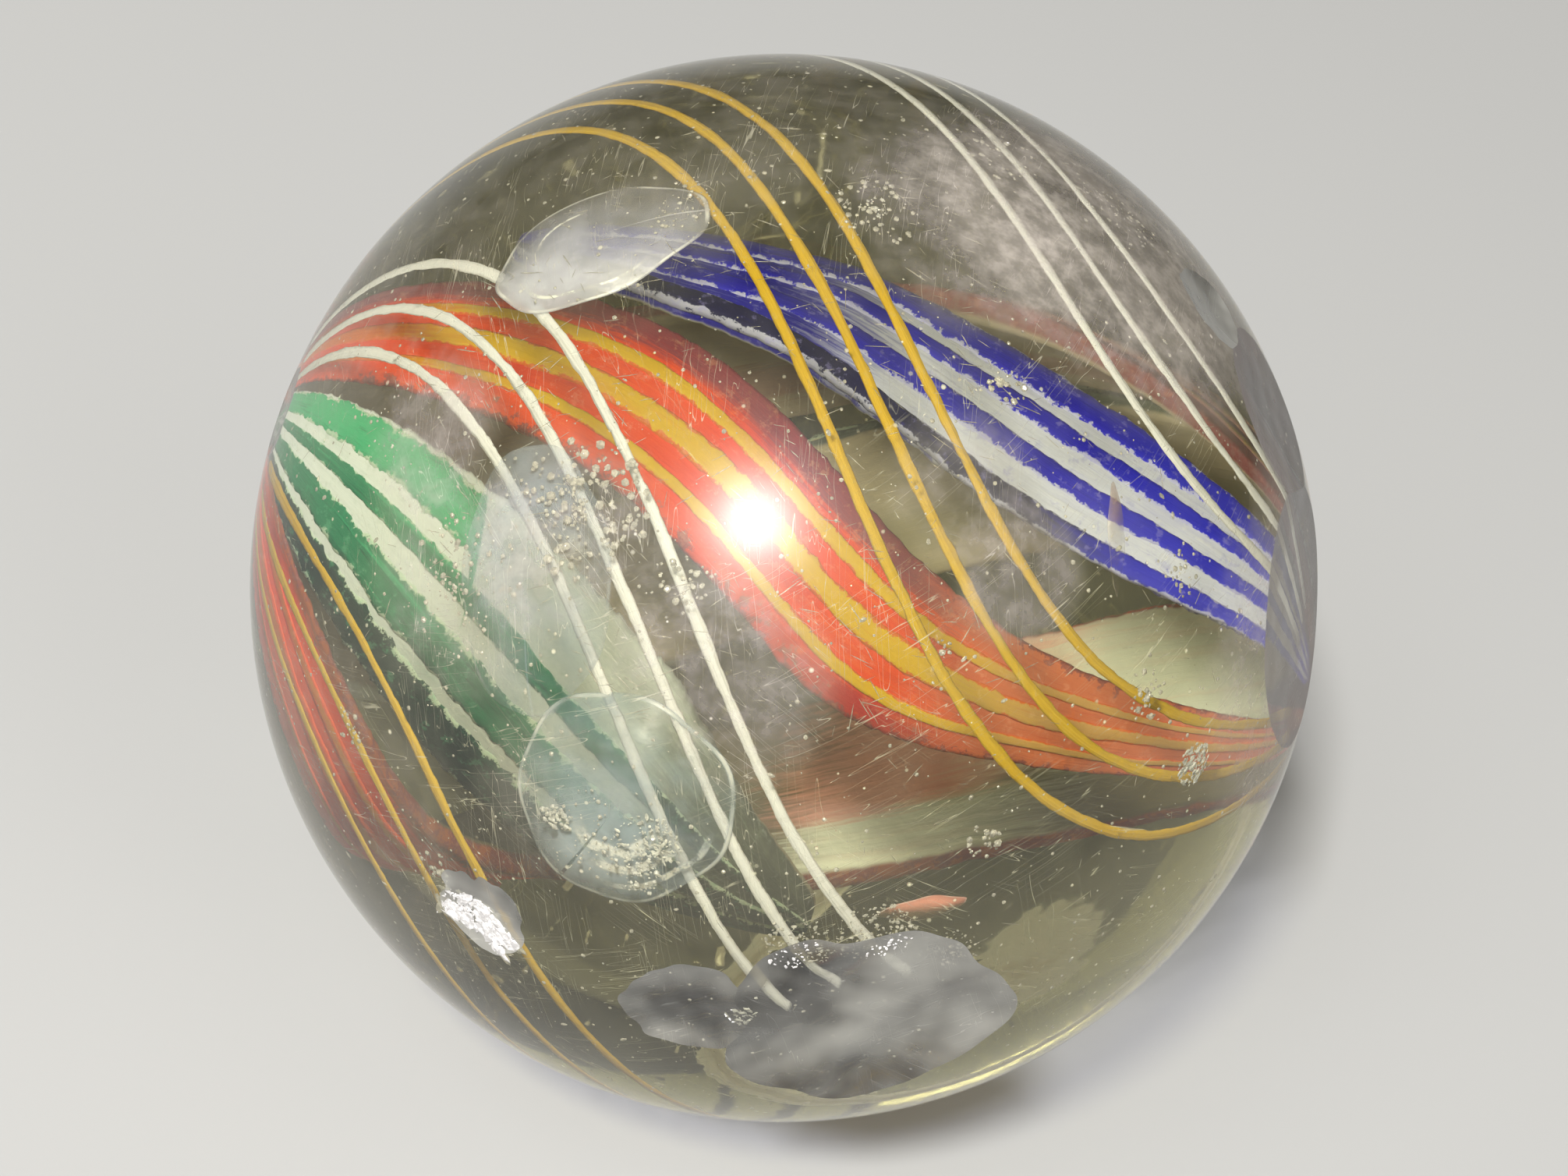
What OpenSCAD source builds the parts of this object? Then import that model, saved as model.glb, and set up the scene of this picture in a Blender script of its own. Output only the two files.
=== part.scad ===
// Swirl marble: one ball of clear glass, 12 to 25 mm across, with a twisted
// core of six striped glass ribbons round a clear middle and six bands of
// three glass threads just under the skin. All of it is fused together.
// X is the axis that the swirl turns about, from pole to pole. The origin is
// the centre of the ball, and Z is up as the marble lies.

/* [Ball] */
// diameter of the ball
ball_d = 19; // [12:0.5:25]

/* [Swirl] */
// turn of the outer threads in degrees for each radius along X, at the middle
skin_twist = 78; // [40:1:120]
// turn of the core ribbons in degrees for each radius along X, at the middle
core_twist = 92; // [40:1:120]
// the same for the blue and white ribbon, which is drawn out more
blue_twist = 62; // [40:1:120]
// how far the threads slow towards the poles, as a share of the twist
pole_slowing = 0.4; // [0:0.05:0.5]
// how uneven the twist is between the two halves, degrees
twist_drift = 8; // [0:1:15]
// how far both poles lean towards the upper side, degrees
pole_lean = 2.7; // [0:0.1:5]
// height of the swirl's start line above the front, degrees
start_angle = 40; // [0:5:60]
// where the core ribbons end, as a share of their run to the pole
core_run = 0.97; // [0.85:0.01:0.98]
// where the outer threads end, as a share of their run to the pole
skin_run = 0.95; // [0.85:0.01:0.96]

/* [Outer threads] */
// distance of the threads from the axis, as a share of the ball's radius
skin_reach = 0.93; // [0.9:0.005:0.94]
// width of a thread across its run
thread_w = 0.19; // [0.15:0.01:0.25]
// angle between two threads of one band
thread_gap = 9.3; // [7:0.1:12]
// gap in the band that is spread wider than the others
wide_gap = 12.7; // [9:0.1:14]
// each yellow band as [middle round the axis from the start line, gap]
yellow_bands = [[26, thread_gap], [130, thread_gap], [-83.8, wide_gap]];
// each white band in the same way
white_bands = [[-24.5, thread_gap], [75.5, thread_gap], [-147, thread_gap]];
// where the threads of the first white band end on their way to the right
// pole, the lowest first
short_ends = [0.19, 0.27, 0.38];

/* [Core ribbons] */
// distance of the ribbons' inner face from the axis, as a share of the radius
core_inner = 0.39; // [0.3:0.01:0.42]
// thickness of a ribbon
ribbon_t = 0.36; // [0.2:0.02:0.5]
// thickness of the stripes laid on a ribbon
stripe_t = 0.14; // [0.08:0.02:0.2]
// edges of the red ribbons, low one first, each as [angle at the middle,
// how far it turns on towards the left pole, and towards the right one]
red_edges = [[[-12, 36, 13], [28, 30, 36]],
    [[118, 60, 60], [148, 60, 60]],
    [[-157, 250, 80], [-117, 250, 80]]];
// how far each red ribbon moves out, in radii, and up, in degrees, as it nears
// the left pole
red_bulges = [[0, 0], [0, 0], [0.16, 15]];
// yellow stripes on a red ribbon, as [middle, half width] in half widths of it
yellow_stripes = [[-0.56, 0.08], [-0.06, 0.17], [0.4, 0.1]];
// edges of the blue and white ribbon
blue_edges = [[44, 14, 28], [83, 1, 31]];
// where the blue and white ribbon starts, on its way to the left pole
blue_start = 0.5; // [0.3:0.01:0.97]
// blue stripes on their white ribbon
blue_stripes = [[-0.9, 0.08], [-0.36, 0.15], [0.18, 0.13], [0.72, 0.24]];
// edges of the green and white ribbons
green_edges = [[[-103, 150, 60], [-34, 62, 16]],
    [[155, 60, 60], [187, 60, 60]]];
// green stripes on their white ribbon, the last one thinning out at a share of the run
green_stripes = [[-0.74, 0.24], [-0.21, 0.21], [0.28, 0.1], [0.74, 0.22, -0.44]];
// where each green ribbon ends on its way to the right pole
green_ends = [0.15, 0.97]; // [0.1:0.01:0.97]
// share of the run over which a ribbon that ends early thins out
tip_run = 0.25; // [0.1:0.01:0.4]

/* [Wear] */
// large shell-shaped flake, as [from the front, round it, half angle, hollow]
big_flake = [51, -64, 14.5, 24];
// small flakes in the same order
small_flakes = [[48, -87.5, 6.5, 6], [50, -117.5, 5, 5], [66, 48.5, 5, 5]];
// nick beside the left pole
pole_nick = [77, 176, 5, 6];
// worn flats near the right pole, as [from the front, round it, half angle]
worn_flats = [[71.4, 12.3, 13.9], [70, 35, 9.5]];

/* [Hidden] */
$fn = 96;
r = ball_d / 2;
// the ribbons' and threads' run stops short of the skin at the poles
run_scale = 0.97;
rings = 20;
core_top = core_inner + ribbon_t / r;
core_stripe_top = core_top + stripe_t / r;
long_ends = [skin_run, skin_run, skin_run];
white_ends = [short_ends, long_ends, long_ends];

// ---- the swirl's rule ----

// share of the run at ring i, closer together at both ends of the strand
function run_at(i, left, right) =
    (right - left) / 2 + (right + left) / 2 * sin(90 * (2 * i / rings - 1));

// turn of the threads at share s of the run
function turn(s, twist) = -twist * s + twist_drift * s * s
    + twist * pole_slowing * s * s * s;

// slope of the threads at share s, radians of turn for each radius
function slope(s, twist) = (-twist + 2 * twist_drift * s
    + 3 * twist * pole_slowing * s * s) * PI / 180;

// a point at share s of the run, reach k from the axis and angle a round it
function swirl_point(s, k, a) = let(
    x = run_scale * s,
    q = k * sqrt(1 - s * s),
    v = q * sin(a),
    w = q * cos(a),
    lean = pole_lean * s,
    x2 = x * cos(lean) - v * sin(lean),
    v2 = x * sin(lean) + v * cos(lean))
    r * [x2,
         v2 * sin(start_angle) - w * cos(start_angle),
         v2 * cos(start_angle) + w * sin(start_angle)];

function tanh(x) = 1 - 2 / (exp(2 * x) + 1);

// angle of a ribbon's edge at share s: steepest at the middle, then levelling
function edge_at(edge, twist, s) = let(on = s < 0 ? edge[1] : edge[2])
    edge[0] - sign(s) * on * tanh(twist * abs(s) / abs(on));

// how far a ribbon that ends early has thinned out at share s
function tip(s, end) = end > 0.9 ? 1 : max(0.1, min(1, sqrt((end - s) / tip_run)));

// how much of a ribbon's bulge shows at share s
function ease(s) = let(x = max(0, min(1, 2 * (-s - 0.1)))) x * x * (3 - 2 * x);

// middle and half width of a ribbon at share s
function course(edges, twist, s, start, end) = let(
    low = edge_at(edges[0], twist, s), high = edge_at(edges[1], twist, s))
    [(low + high) / 2, (high - low) / 2 * min(tip(s, end), tip(-s, start))];

// half width of a stripe at share s, in half widths of its ribbon
function stripe_half(stripe, s) = stripe[1]
    * (is_undef(stripe[2]) ? 1 : max(0.08, min(1, (stripe[2] - s) / 0.1)));

// faces of a sweep of n-sided rings, closed at both ends
function sweep_faces(n) = concat(
    [[for (j = [0 : n - 1]) j]],
    [for (i = [0 : rings - 1]) for (j = [0 : n - 1]) let(k = (j + 1) % n)
        [i * n + j, (i + 1) * n + j, (i + 1) * n + k]],
    [for (i = [0 : rings - 1]) for (j = [0 : n - 1]) let(k = (j + 1) % n)
        [i * n + j, (i + 1) * n + k, i * n + k]],
    [[for (j = [0 : n - 1]) rings * n + n - 1 - j]]);

// section: list of [reach, place across] pairs for a share of the run, that goes
// down the inner face and back up the outer one
module ribbon_sweep(section, edges, twist, start, end, bulge) {
    n = len(section(0));
    polyhedron(
        points = [for (i = [0 : rings]) let(
            s = run_at(i, start, end),
            c = course(edges, twist, s, start, end),
            places = section(s))
            for (j = [n - 1 : -1 : 0]) let(p = places[j])
                swirl_point(s, p[0] + bulge[0] * ease(s),
                    c[0] + bulge[1] * ease(s) + p[1] * c[1])],
        faces = sweep_faces(n), convexity = 6);
}

// ---- outer threads ----

// a four-sided thread, as wide across its run at the poles as in the middle
module thread(at, end) {
    polyhedron(
        points = [for (i = [0 : rings]) let(
            s = run_at(i, skin_run, end),
            q = skin_reach * sqrt(1 - s * s),
            along = sqrt(1 + pow(skin_reach * s, 2) / (1 - s * s)),
            across = sqrt(1 + pow(q * slope(s, skin_twist) / along, 2)),
            half = thread_w / 2 * across / (q * r) * 180 / PI,
            a = at + turn(s, skin_twist),
            t = thread_w / 2 / r)
            for (p = [[-t, 0], [0, half], [t, 0], [0, -half]])
                swirl_point(s, skin_reach + p[0], a + p[1])],
        faces = sweep_faces(4), convexity = 6);
}

module threads(band, ends = long_ends) {
    for (j = [0 : 2]) thread(band[0] + (j - 1) * band[1], ends[j]);
}

// ---- core ribbons ----

// inner face of a ribbon, from its high side to its low side
ribbon_inside = [for (j = [3 : -1 : 0]) [core_inner, 2 * j / 3 - 1]];

// outer face of a ribbon, with a point at each stripe's edges
function ribbon_outside(stripes, s) = concat(
    [[core_top, -1]],
    [for (p = stripes) for (e = [-1, 1]) [core_top, p[0] + e * stripe_half(p, s)]],
    [[core_top, 1]]);

// the same face with the stripes standing on it
function ribbon_with_stripes(stripes, s) = concat(
    [[core_top, -1]],
    [for (p = stripes) let(h = stripe_half(p, s))
        for (q = [[core_top, -h], [core_stripe_top, -h], [core_stripe_top, h], [core_top, h]])
            [q[0], p[0] + q[1]]],
    [[core_top, 1]]);

module ribbon(edges, stripes, twist = core_twist, start = core_run, end = core_run,
        bulge = [0, 0]) {
    ribbon_sweep(function(s) concat(ribbon_inside, ribbon_outside(stripes, s)),
        edges, twist, start, end, bulge);
}

module ribbon_room(edges, stripes, twist = core_twist, start = core_run, end = core_run,
        bulge = [0, 0]) {
    ribbon_sweep(function(s) concat(ribbon_inside, ribbon_with_stripes(stripes, s)),
        edges, twist, start, end, bulge);
}

module stripe_set(edges, stripes, twist = core_twist, start = core_run, end = core_run,
        bulge = [0, 0]) {
    for (p = stripes) {
        ribbon_sweep(function(s) let(h = stripe_half(p, s))
            [[core_top, p[0] + h], [core_top, p[0] - h],
             [core_stripe_top, p[0] - h], [core_stripe_top, p[0] + h]],
            edges, twist, start, end, bulge);
    }
}

// ---- wear on the skin ----

// turns +Z to a place given from the front line and round it
module turn_to(away, around) {
    rotate([90 - start_angle, 0, 0])
        rotate([0, 0, around]) rotate([0, away, 0]) children();
}

module flake(f) {
    a = r * sin(f[2]);
    turn_to(f[0], f[1])
        translate([0, 0, r * cos(f[2]) + sqrt(f[3] * f[3] - a * a)])
            sphere(r = f[3]);
}

module worn_flat(f) {
    turn_to(f[0], f[1])
        translate([-r, -r, r * cos(f[2])]) cube([2 * r, 2 * r, r]);
}

// ---- nodes ----

module clear_glass_ball() {
    color([0.72, 0.72, 0.62, 0.35]) difference() {
        sphere(r = r);
        flake(big_flake);
        for (f = small_flakes) flake(f);
        flake(pole_nick);
        for (f = worn_flats) worn_flat(f);
        for (band = yellow_bands) threads(band);
        for (i = [0 : 2]) threads(white_bands[i], white_ends[i]);
        for (i = [0 : 2]) ribbon_room(red_edges[i], yellow_stripes, bulge = red_bulges[i]);
        ribbon_room(blue_edges, blue_stripes, blue_twist, blue_start);
        for (i = [0, 1]) ribbon_room(green_edges[i], green_stripes, end = green_ends[i]);
    }
}

module red_ribbon(i) {
    color([0.86, 0.25, 0.12])
        ribbon(red_edges[i], yellow_stripes, bulge = red_bulges[i]);
}
module red_ribbon_1() red_ribbon(0);
module red_ribbon_2() red_ribbon(1);
module red_ribbon_3() red_ribbon(2);

module yellow_stripe_set(i) {
    color([0.88, 0.64, 0.12])
        stripe_set(red_edges[i], yellow_stripes, bulge = red_bulges[i]);
}
module yellow_stripes_1() yellow_stripe_set(0);
module yellow_stripes_2() yellow_stripe_set(1);
module yellow_stripes_3() yellow_stripe_set(2);

module blue_white_ribbon() {
    color([0.88, 0.88, 0.9]) ribbon(blue_edges, blue_stripes, blue_twist, blue_start);
}
module blue_stripes_1() {
    color([0.16, 0.12, 0.66])
        stripe_set(blue_edges, blue_stripes, blue_twist, blue_start);
}

module green_white_ribbon(i) {
    color([0.88, 0.87, 0.78])
        ribbon(green_edges[i], green_stripes, end = green_ends[i]);
}
module green_white_ribbon_1() green_white_ribbon(0);
module green_white_ribbon_2() green_white_ribbon(1);

module green_stripe_set(i) {
    color([0.06, 0.5, 0.3])
        stripe_set(green_edges[i], green_stripes, end = green_ends[i]);
}
module green_stripes_1() green_stripe_set(0);
module green_stripes_2() green_stripe_set(1);

module yellow_thread_band(i) {
    color([0.85, 0.66, 0.16]) threads(yellow_bands[i]);
}
module yellow_threads_1() yellow_thread_band(0);
module yellow_threads_2() yellow_thread_band(1);
module yellow_threads_3() yellow_thread_band(2);

module white_thread_band(i) {
    color([0.9, 0.87, 0.82]) threads(white_bands[i], white_ends[i]);
}
module white_threads_1() white_thread_band(0);
module white_threads_2() white_thread_band(1);
module white_threads_3() white_thread_band(2);

clear_glass_ball();
red_ribbon_1();
red_ribbon_2();
red_ribbon_3();
yellow_stripes_1();
yellow_stripes_2();
yellow_stripes_3();
blue_white_ribbon();
blue_stripes_1();
green_white_ribbon_1();
green_white_ribbon_2();
green_stripes_1();
green_stripes_2();
yellow_threads_1();
yellow_threads_2();
yellow_threads_3();
white_threads_1();
white_threads_2();
white_threads_3();
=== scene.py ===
import logging
import math
from dataclasses import dataclass, replace
from enum import Enum

import bmesh
import bpy
import numpy as np
from mathutils import Matrix, Vector


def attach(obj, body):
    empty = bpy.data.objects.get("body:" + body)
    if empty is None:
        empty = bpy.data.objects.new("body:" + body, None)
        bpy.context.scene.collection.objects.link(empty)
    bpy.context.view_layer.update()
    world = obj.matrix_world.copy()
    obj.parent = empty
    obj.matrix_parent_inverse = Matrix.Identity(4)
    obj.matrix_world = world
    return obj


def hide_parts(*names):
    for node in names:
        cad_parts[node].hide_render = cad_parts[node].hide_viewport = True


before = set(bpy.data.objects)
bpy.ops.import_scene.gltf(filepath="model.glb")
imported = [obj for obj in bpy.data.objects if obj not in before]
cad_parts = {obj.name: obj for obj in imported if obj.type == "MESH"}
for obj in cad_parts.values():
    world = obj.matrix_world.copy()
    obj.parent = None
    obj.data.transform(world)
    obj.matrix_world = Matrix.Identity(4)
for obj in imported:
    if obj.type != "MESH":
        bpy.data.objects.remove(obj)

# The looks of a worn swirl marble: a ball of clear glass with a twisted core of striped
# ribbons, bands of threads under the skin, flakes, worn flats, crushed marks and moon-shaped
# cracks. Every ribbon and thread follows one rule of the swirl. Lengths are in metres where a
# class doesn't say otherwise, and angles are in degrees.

log = logging.getLogger("marble")

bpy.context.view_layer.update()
MM: float = 0.001
Colour = tuple[float, float, float]


class Kind(Enum):
    """What the strand tree lays along the swirl."""

    RIBBON = "ribbon"
    THREAD = "thread"


class Cut(Enum):
    """How a worn place was taken off the skin."""

    HOLLOW = "hollow"
    FLAT = "flat"


# ---- the swirl's rule and places on the skin ----


@dataclass(frozen=True)
class Swirl:
    """The rule that every ribbon and thread of the marble follows.

    A point of a strand is given by its share of the run along X, its reach from the axis as a
    share of the radius, and its angle round the axis from the start line. Drift and slowing
    shape the threads' turn. Each edge of a ribbon has its own course. A ribbon that bulges does
    so from bulge_from left of the middle, over bulge_over of the run. A strand thins out over
    the taper at each end, and the paces say how fast it wanders, swells and frays.
    """

    radius: float = 9.5 * MM
    pole_reach: float = 0.97
    drift: float = 8.0
    slowing: float = 0.4
    lean: float = 2.7
    start_line: float = 40.0
    skin_twist: float = 78.0
    core_twist: float = 92.0
    blue_twist: float = 62.0
    taper: float = 0.1
    bulge_from: float = 0.1
    bulge_over: float = 0.5
    wander_pace: float = 3.1
    swell_pace: float = 9.0
    ragged_pace: float = 34.0


@dataclass(frozen=True)
class Edge:
    """Course of a ribbon's edge: its angle at the middle and how far it turns on to each pole."""

    middle: float
    to_left: float
    to_right: float


@dataclass(frozen=True)
class Spot:
    """A place on the skin, given from the front line of sight.

    away is the angle from that line, around is the angle round it from +X, and spin turns
    whatever lies there about its own middle.
    """

    away: float
    around: float
    spin: float = 0.0

    def turned(self, swirl: Swirl) -> np.ndarray:
        """Turns the front line of sight to the spot.

        Args:
            swirl: the rule, for the line of sight.

        Returns:
            The three axes of the spot as columns. The last one points outwards.
        """
        turns = (
            Matrix.Rotation(math.radians(90 - swirl.start_line), 3, "X")
            @ Matrix.Rotation(math.radians(self.around), 3, "Z")
            @ Matrix.Rotation(math.radians(self.away), 3, "Y")
            @ Matrix.Rotation(math.radians(self.spin), 3, "Z")
        )
        return np.array(turns)


# ---- numbers and nodes in a tree ----


class Number:
    """A value in a node tree. Sums on it add Math nodes to the tree."""

    def __init__(self, tree: bpy.types.NodeTree, socket: bpy.types.NodeSocket) -> None:
        """Keeps the tree and the socket that the value comes from."""
        self.tree = tree
        self.socket = socket

    def worked(self, operation: str, *others: "Number | float") -> "Number":
        """Adds one Math node.

        Args:
            operation: the Math node's operation.
            others: its second and third values.

        Returns:
            The node's result.
        """
        node = self.tree.nodes.new("ShaderNodeMath")
        node.operation = operation
        for socket, value in zip(node.inputs, (self, *others)):
            put(self.tree, socket, value)
        return Number(self.tree, node.outputs[0])

    def __add__(self, other: "Number | float") -> "Number":
        """Sum."""
        return self.worked("ADD", other)

    def __sub__(self, other: "Number | float") -> "Number":
        """Difference."""
        return self.worked("SUBTRACT", other)

    def __mul__(self, other: "Number | float") -> "Number":
        """Product."""
        return self.worked("MULTIPLY", other)

    def __truediv__(self, other: "Number | float") -> "Number":
        """Quotient."""
        return self.worked("DIVIDE", other)

    def sin(self) -> "Number":
        """Sine of an angle in degrees."""
        return (self * math.radians(1)).worked("SINE")

    def cos(self) -> "Number":
        """Cosine of an angle in degrees."""
        return (self * math.radians(1)).worked("COSINE")

    def root(self) -> "Number":
        """Square root."""
        return self.worked("SQRT")

    def limited(self, low: float = 0.0, high: float = 1.0) -> "Number":
        """The value kept between two limits."""
        return self.worked("MAXIMUM", low).worked("MINIMUM", high)

    def stepped(self, start: float, end: float) -> "Number":
        """Steps from 0 to 1.

        Args:
            start: where the smooth rise starts.
            end: where it is over.

        Returns:
            0 before start, 1 after end.
        """
        node = self.tree.nodes.new("ShaderNodeMapRange")
        node.interpolation_type = "SMOOTHSTEP"
        put(self.tree, node.inputs["Value"], self)
        node.inputs["From Min"].default_value = start
        node.inputs["From Max"].default_value = end
        return Number(self.tree, node.outputs[0])

    def past(self, place: float, blur: float) -> "Number":
        """1 past a place and 0 before it, with a smooth rise over blur on both sides."""
        return (self - place).stepped(-blur, blur)

    def rest(self) -> "Number":
        """What is left of 1."""
        return self * -1.0 + 1.0


def put(tree: bpy.types.NodeTree, socket: bpy.types.NodeSocket, value: object) -> None:
    """Gives a socket a value.

    Args:
        tree: the tree that the socket is in.
        socket: the socket.
        value: a Number or a socket, which is linked, or a plain value.
    """
    if isinstance(value, Number):
        tree.links.new(value.socket, socket)
    elif isinstance(value, bpy.types.NodeSocket):
        tree.links.new(value, socket)
    else:
        socket.default_value = value


class Tree:
    """A node tree with short ways to add what the marble's trees use."""

    def __init__(self, nodes: bpy.types.NodeTree) -> None:
        """Keeps the tree."""
        self.nodes = nodes

    def add(self, kind: str, settings: dict | None = None, **values: object) -> bpy.types.Node:
        """Adds a node.

        Args:
            kind: the node's type.
            settings: its own settings, by name.
            values: what its inputs get, by name, with _ for a space.

        Returns:
            The node.
        """
        node = self.nodes.nodes.new(kind)
        for name, value in (settings or {}).items():
            setattr(node, name, value)
        for name, value in values.items():
            put(self.nodes, node.inputs[name.replace("_", " ")], value)
        return node

    def number(self, socket: bpy.types.NodeSocket) -> Number:
        """A socket as a number to work with."""
        return Number(self.nodes, socket)

    def fixed(self, value: float) -> Number:
        """Adds a number that stays as it is.

        Args:
            value: what it is.

        Returns:
            The number.
        """
        node = self.nodes.nodes.new("ShaderNodeValue")
        node.outputs[0].default_value = value
        return self.number(node.outputs[0])

    def vector(self, *parts: "Number | float") -> bpy.types.NodeSocket:
        """Adds a vector.

        Args:
            parts: its three numbers.

        Returns:
            The vector's socket.
        """
        node = self.nodes.nodes.new("ShaderNodeCombineXYZ")
        for socket, value in zip(node.inputs, parts):
            put(self.nodes, socket, value)
        return node.outputs[0]

    def parts(self, vector: bpy.types.NodeSocket) -> list[Number]:
        """Takes a vector apart.

        Args:
            vector: its socket.

        Returns:
            Its three numbers.
        """
        node = self.nodes.nodes.new("ShaderNodeSeparateXYZ")
        self.nodes.links.new(vector, node.inputs[0])
        return [self.number(s) for s in node.outputs]

    def noise(self, vector: object, scale: float, detail: float = 2.0, rough: float = 0.5) -> Number:
        """Smooth noise from 0 to 1 at a place."""
        node = self.add("ShaderNodeTexNoise", Vector=vector, Scale=scale, Detail=detail, Roughness=rough)
        return self.number(node.outputs[0])


# ---- geometry trees ----

NUMBER, WHOLE, MATERIAL = "NodeSocketFloat", "NodeSocketInt", "NodeSocketMaterial"
LEAST_END: float = 0.04  # share of a strand's width that is left at its very end
GRAIN_COVER: float = 0.02 * MM  # least glass over a grain
BREAKS: float = 14000.0  # how closely a grain's broken faces follow each other


class GeometryTree(Tree):
    """A Geometry Nodes tree with named inputs."""

    def __init__(self, name: str, inputs: dict[str, str]) -> None:
        """Starts the tree with its inputs and one geometry output.

        Args:
            name: the tree's name.
            inputs: the kind of socket of each named input.
        """
        super().__init__(bpy.data.node_groups.new(name, "GeometryNodeTree"))
        for label, kind in inputs.items():
            self.nodes.interface.new_socket(label, in_out="INPUT", socket_type=kind)
        self.nodes.interface.new_socket("Geometry", in_out="OUTPUT", socket_type="NodeSocketGeometry")
        self.given = self.nodes.nodes.new("NodeGroupInput")

    def input(self, name: str) -> Number:
        """The number that a named input gives."""
        return self.number(self.given.outputs[name])

    def stored(self, geometry: object, name: str, value: object, kind: str) -> bpy.types.NodeSocket:
        """Stores a named attribute on the points and gives the geometry that carries it."""
        node = self.add("GeometryNodeStoreNamedAttribute", {"data_type": kind, "domain": "POINT"},
                        Geometry=geometry, Name=name, Value=value)
        return node.outputs[0]

    def read(self, name: str, kind: str) -> bpy.types.NodeSocket:
        """The socket that gives a named attribute."""
        return self.add("GeometryNodeInputNamedAttribute", {"data_type": kind}, Name=name).outputs[0]

    def finished(self, geometry: object, rounded: bool = True) -> bpy.types.NodeTree:
        """Ends the tree in Realize Instances and Set Material.

        Args:
            geometry: what the tree has made.
            rounded: whether it is shaded smooth or keeps its facets.

        Returns:
            The tree.
        """
        real = self.add("GeometryNodeRealizeInstances", Geometry=geometry)
        smooth = self.add("GeometryNodeSetShadeSmooth", Geometry=real.outputs[0], Shade_Smooth=rounded)
        dressed = self.add("GeometryNodeSetMaterial", Geometry=smooth.outputs[0],
                           Material=self.given.outputs["Material"])
        end = self.nodes.nodes.new("NodeGroupOutput")
        self.nodes.links.new(dressed.outputs[0], end.inputs[0])
        return self.nodes


def grown(name: str, tree: bpy.types.NodeTree, values: dict[str, object]) -> bpy.types.Mesh:
    """Runs a geometry tree once and keeps its result as a plain mesh.

    Args:
        name: the mesh's name.
        tree: the geometry tree.
        values: what each named input gets.

    Returns:
        The mesh, with no modifier behind it.
    """
    holder = bpy.data.objects.new(name + "_maker", bpy.data.meshes.new(name + "_seed"))
    bpy.context.scene.collection.objects.link(holder)
    modifier = holder.modifiers.new("maker", "NODES")
    modifier.node_group = tree
    for item in tree.interface.items_tree:
        if item.item_type == "SOCKET" and item.in_out == "INPUT" and item.name in values:
            modifier[item.identifier] = values[item.name]
    bpy.context.view_layer.update()
    shape = holder.evaluated_get(bpy.context.evaluated_depsgraph_get())
    mesh = bpy.data.meshes.new_from_object(shape)
    mesh.name = name
    holder.modifiers.clear()
    bpy.data.objects.remove(holder)
    return mesh


def joined(name: str, meshes: list[bpy.types.Mesh]) -> bpy.types.Mesh:
    """Puts several meshes with the same material into one, with their attributes.

    Args:
        name: the name of the result.
        meshes: the meshes, which are used up.

    Returns:
        The one mesh.
    """
    objects = [bpy.data.objects.new(f"{name}_{i}", m) for i, m in enumerate(meshes)]
    for o in objects:
        bpy.context.scene.collection.objects.link(o)
    first = objects[0]
    if len(objects) > 1:
        with bpy.context.temp_override(active_object=first, object=first,
                                       selected_objects=objects, selected_editable_objects=objects):
            bpy.ops.object.join()
    mesh = first.data
    mesh.name = name
    bpy.data.objects.remove(first)
    return mesh


def placed(name: str, mesh: bpy.types.Mesh, slot: str, nodes: tuple[str, ...] = ()) -> bpy.types.Object:
    """Makes a finished mesh one of the marble's pieces.

    Args:
        name: the piece's name.
        mesh: its mesh, in place.
        slot: the record's material slot for it, which is only written to the log.
        nodes: the solids that it stands for.

    Returns:
        The piece's object, riding on the one body.
    """
    piece = bpy.data.objects.new(name, mesh)
    bpy.context.scene.collection.objects.link(piece)
    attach(piece, "root")
    if nodes:
        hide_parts(*nodes)
    log.info("%s: %d faces, %s", name, len(mesh.polygons), slot)
    return piece


def edge_course(tree: GeometryTree, name: str, share: Number, twist: Number) -> Number:
    """The angle of a ribbon's edge: steepest at the middle, then levelling to each pole.

    Args:
        tree: the tree, with inputs Middle, Left and Right of this edge.
        name: the edge's name.
        share: the share of the run.
        twist: the turn for each radius at the middle.

    Returns:
        The angle in degrees.
    """
    left, right = tree.input(f"{name} Left"), tree.input(f"{name} Right")
    on = left + (right - left) * share.worked("GREATER_THAN", 0.0)
    levelled = (twist * share.worked("ABSOLUTE") / on.worked("ABSOLUTE")).worked("TANH")
    return tree.input(f"{name} Middle") - share.worked("SIGN") * on * levelled


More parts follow.
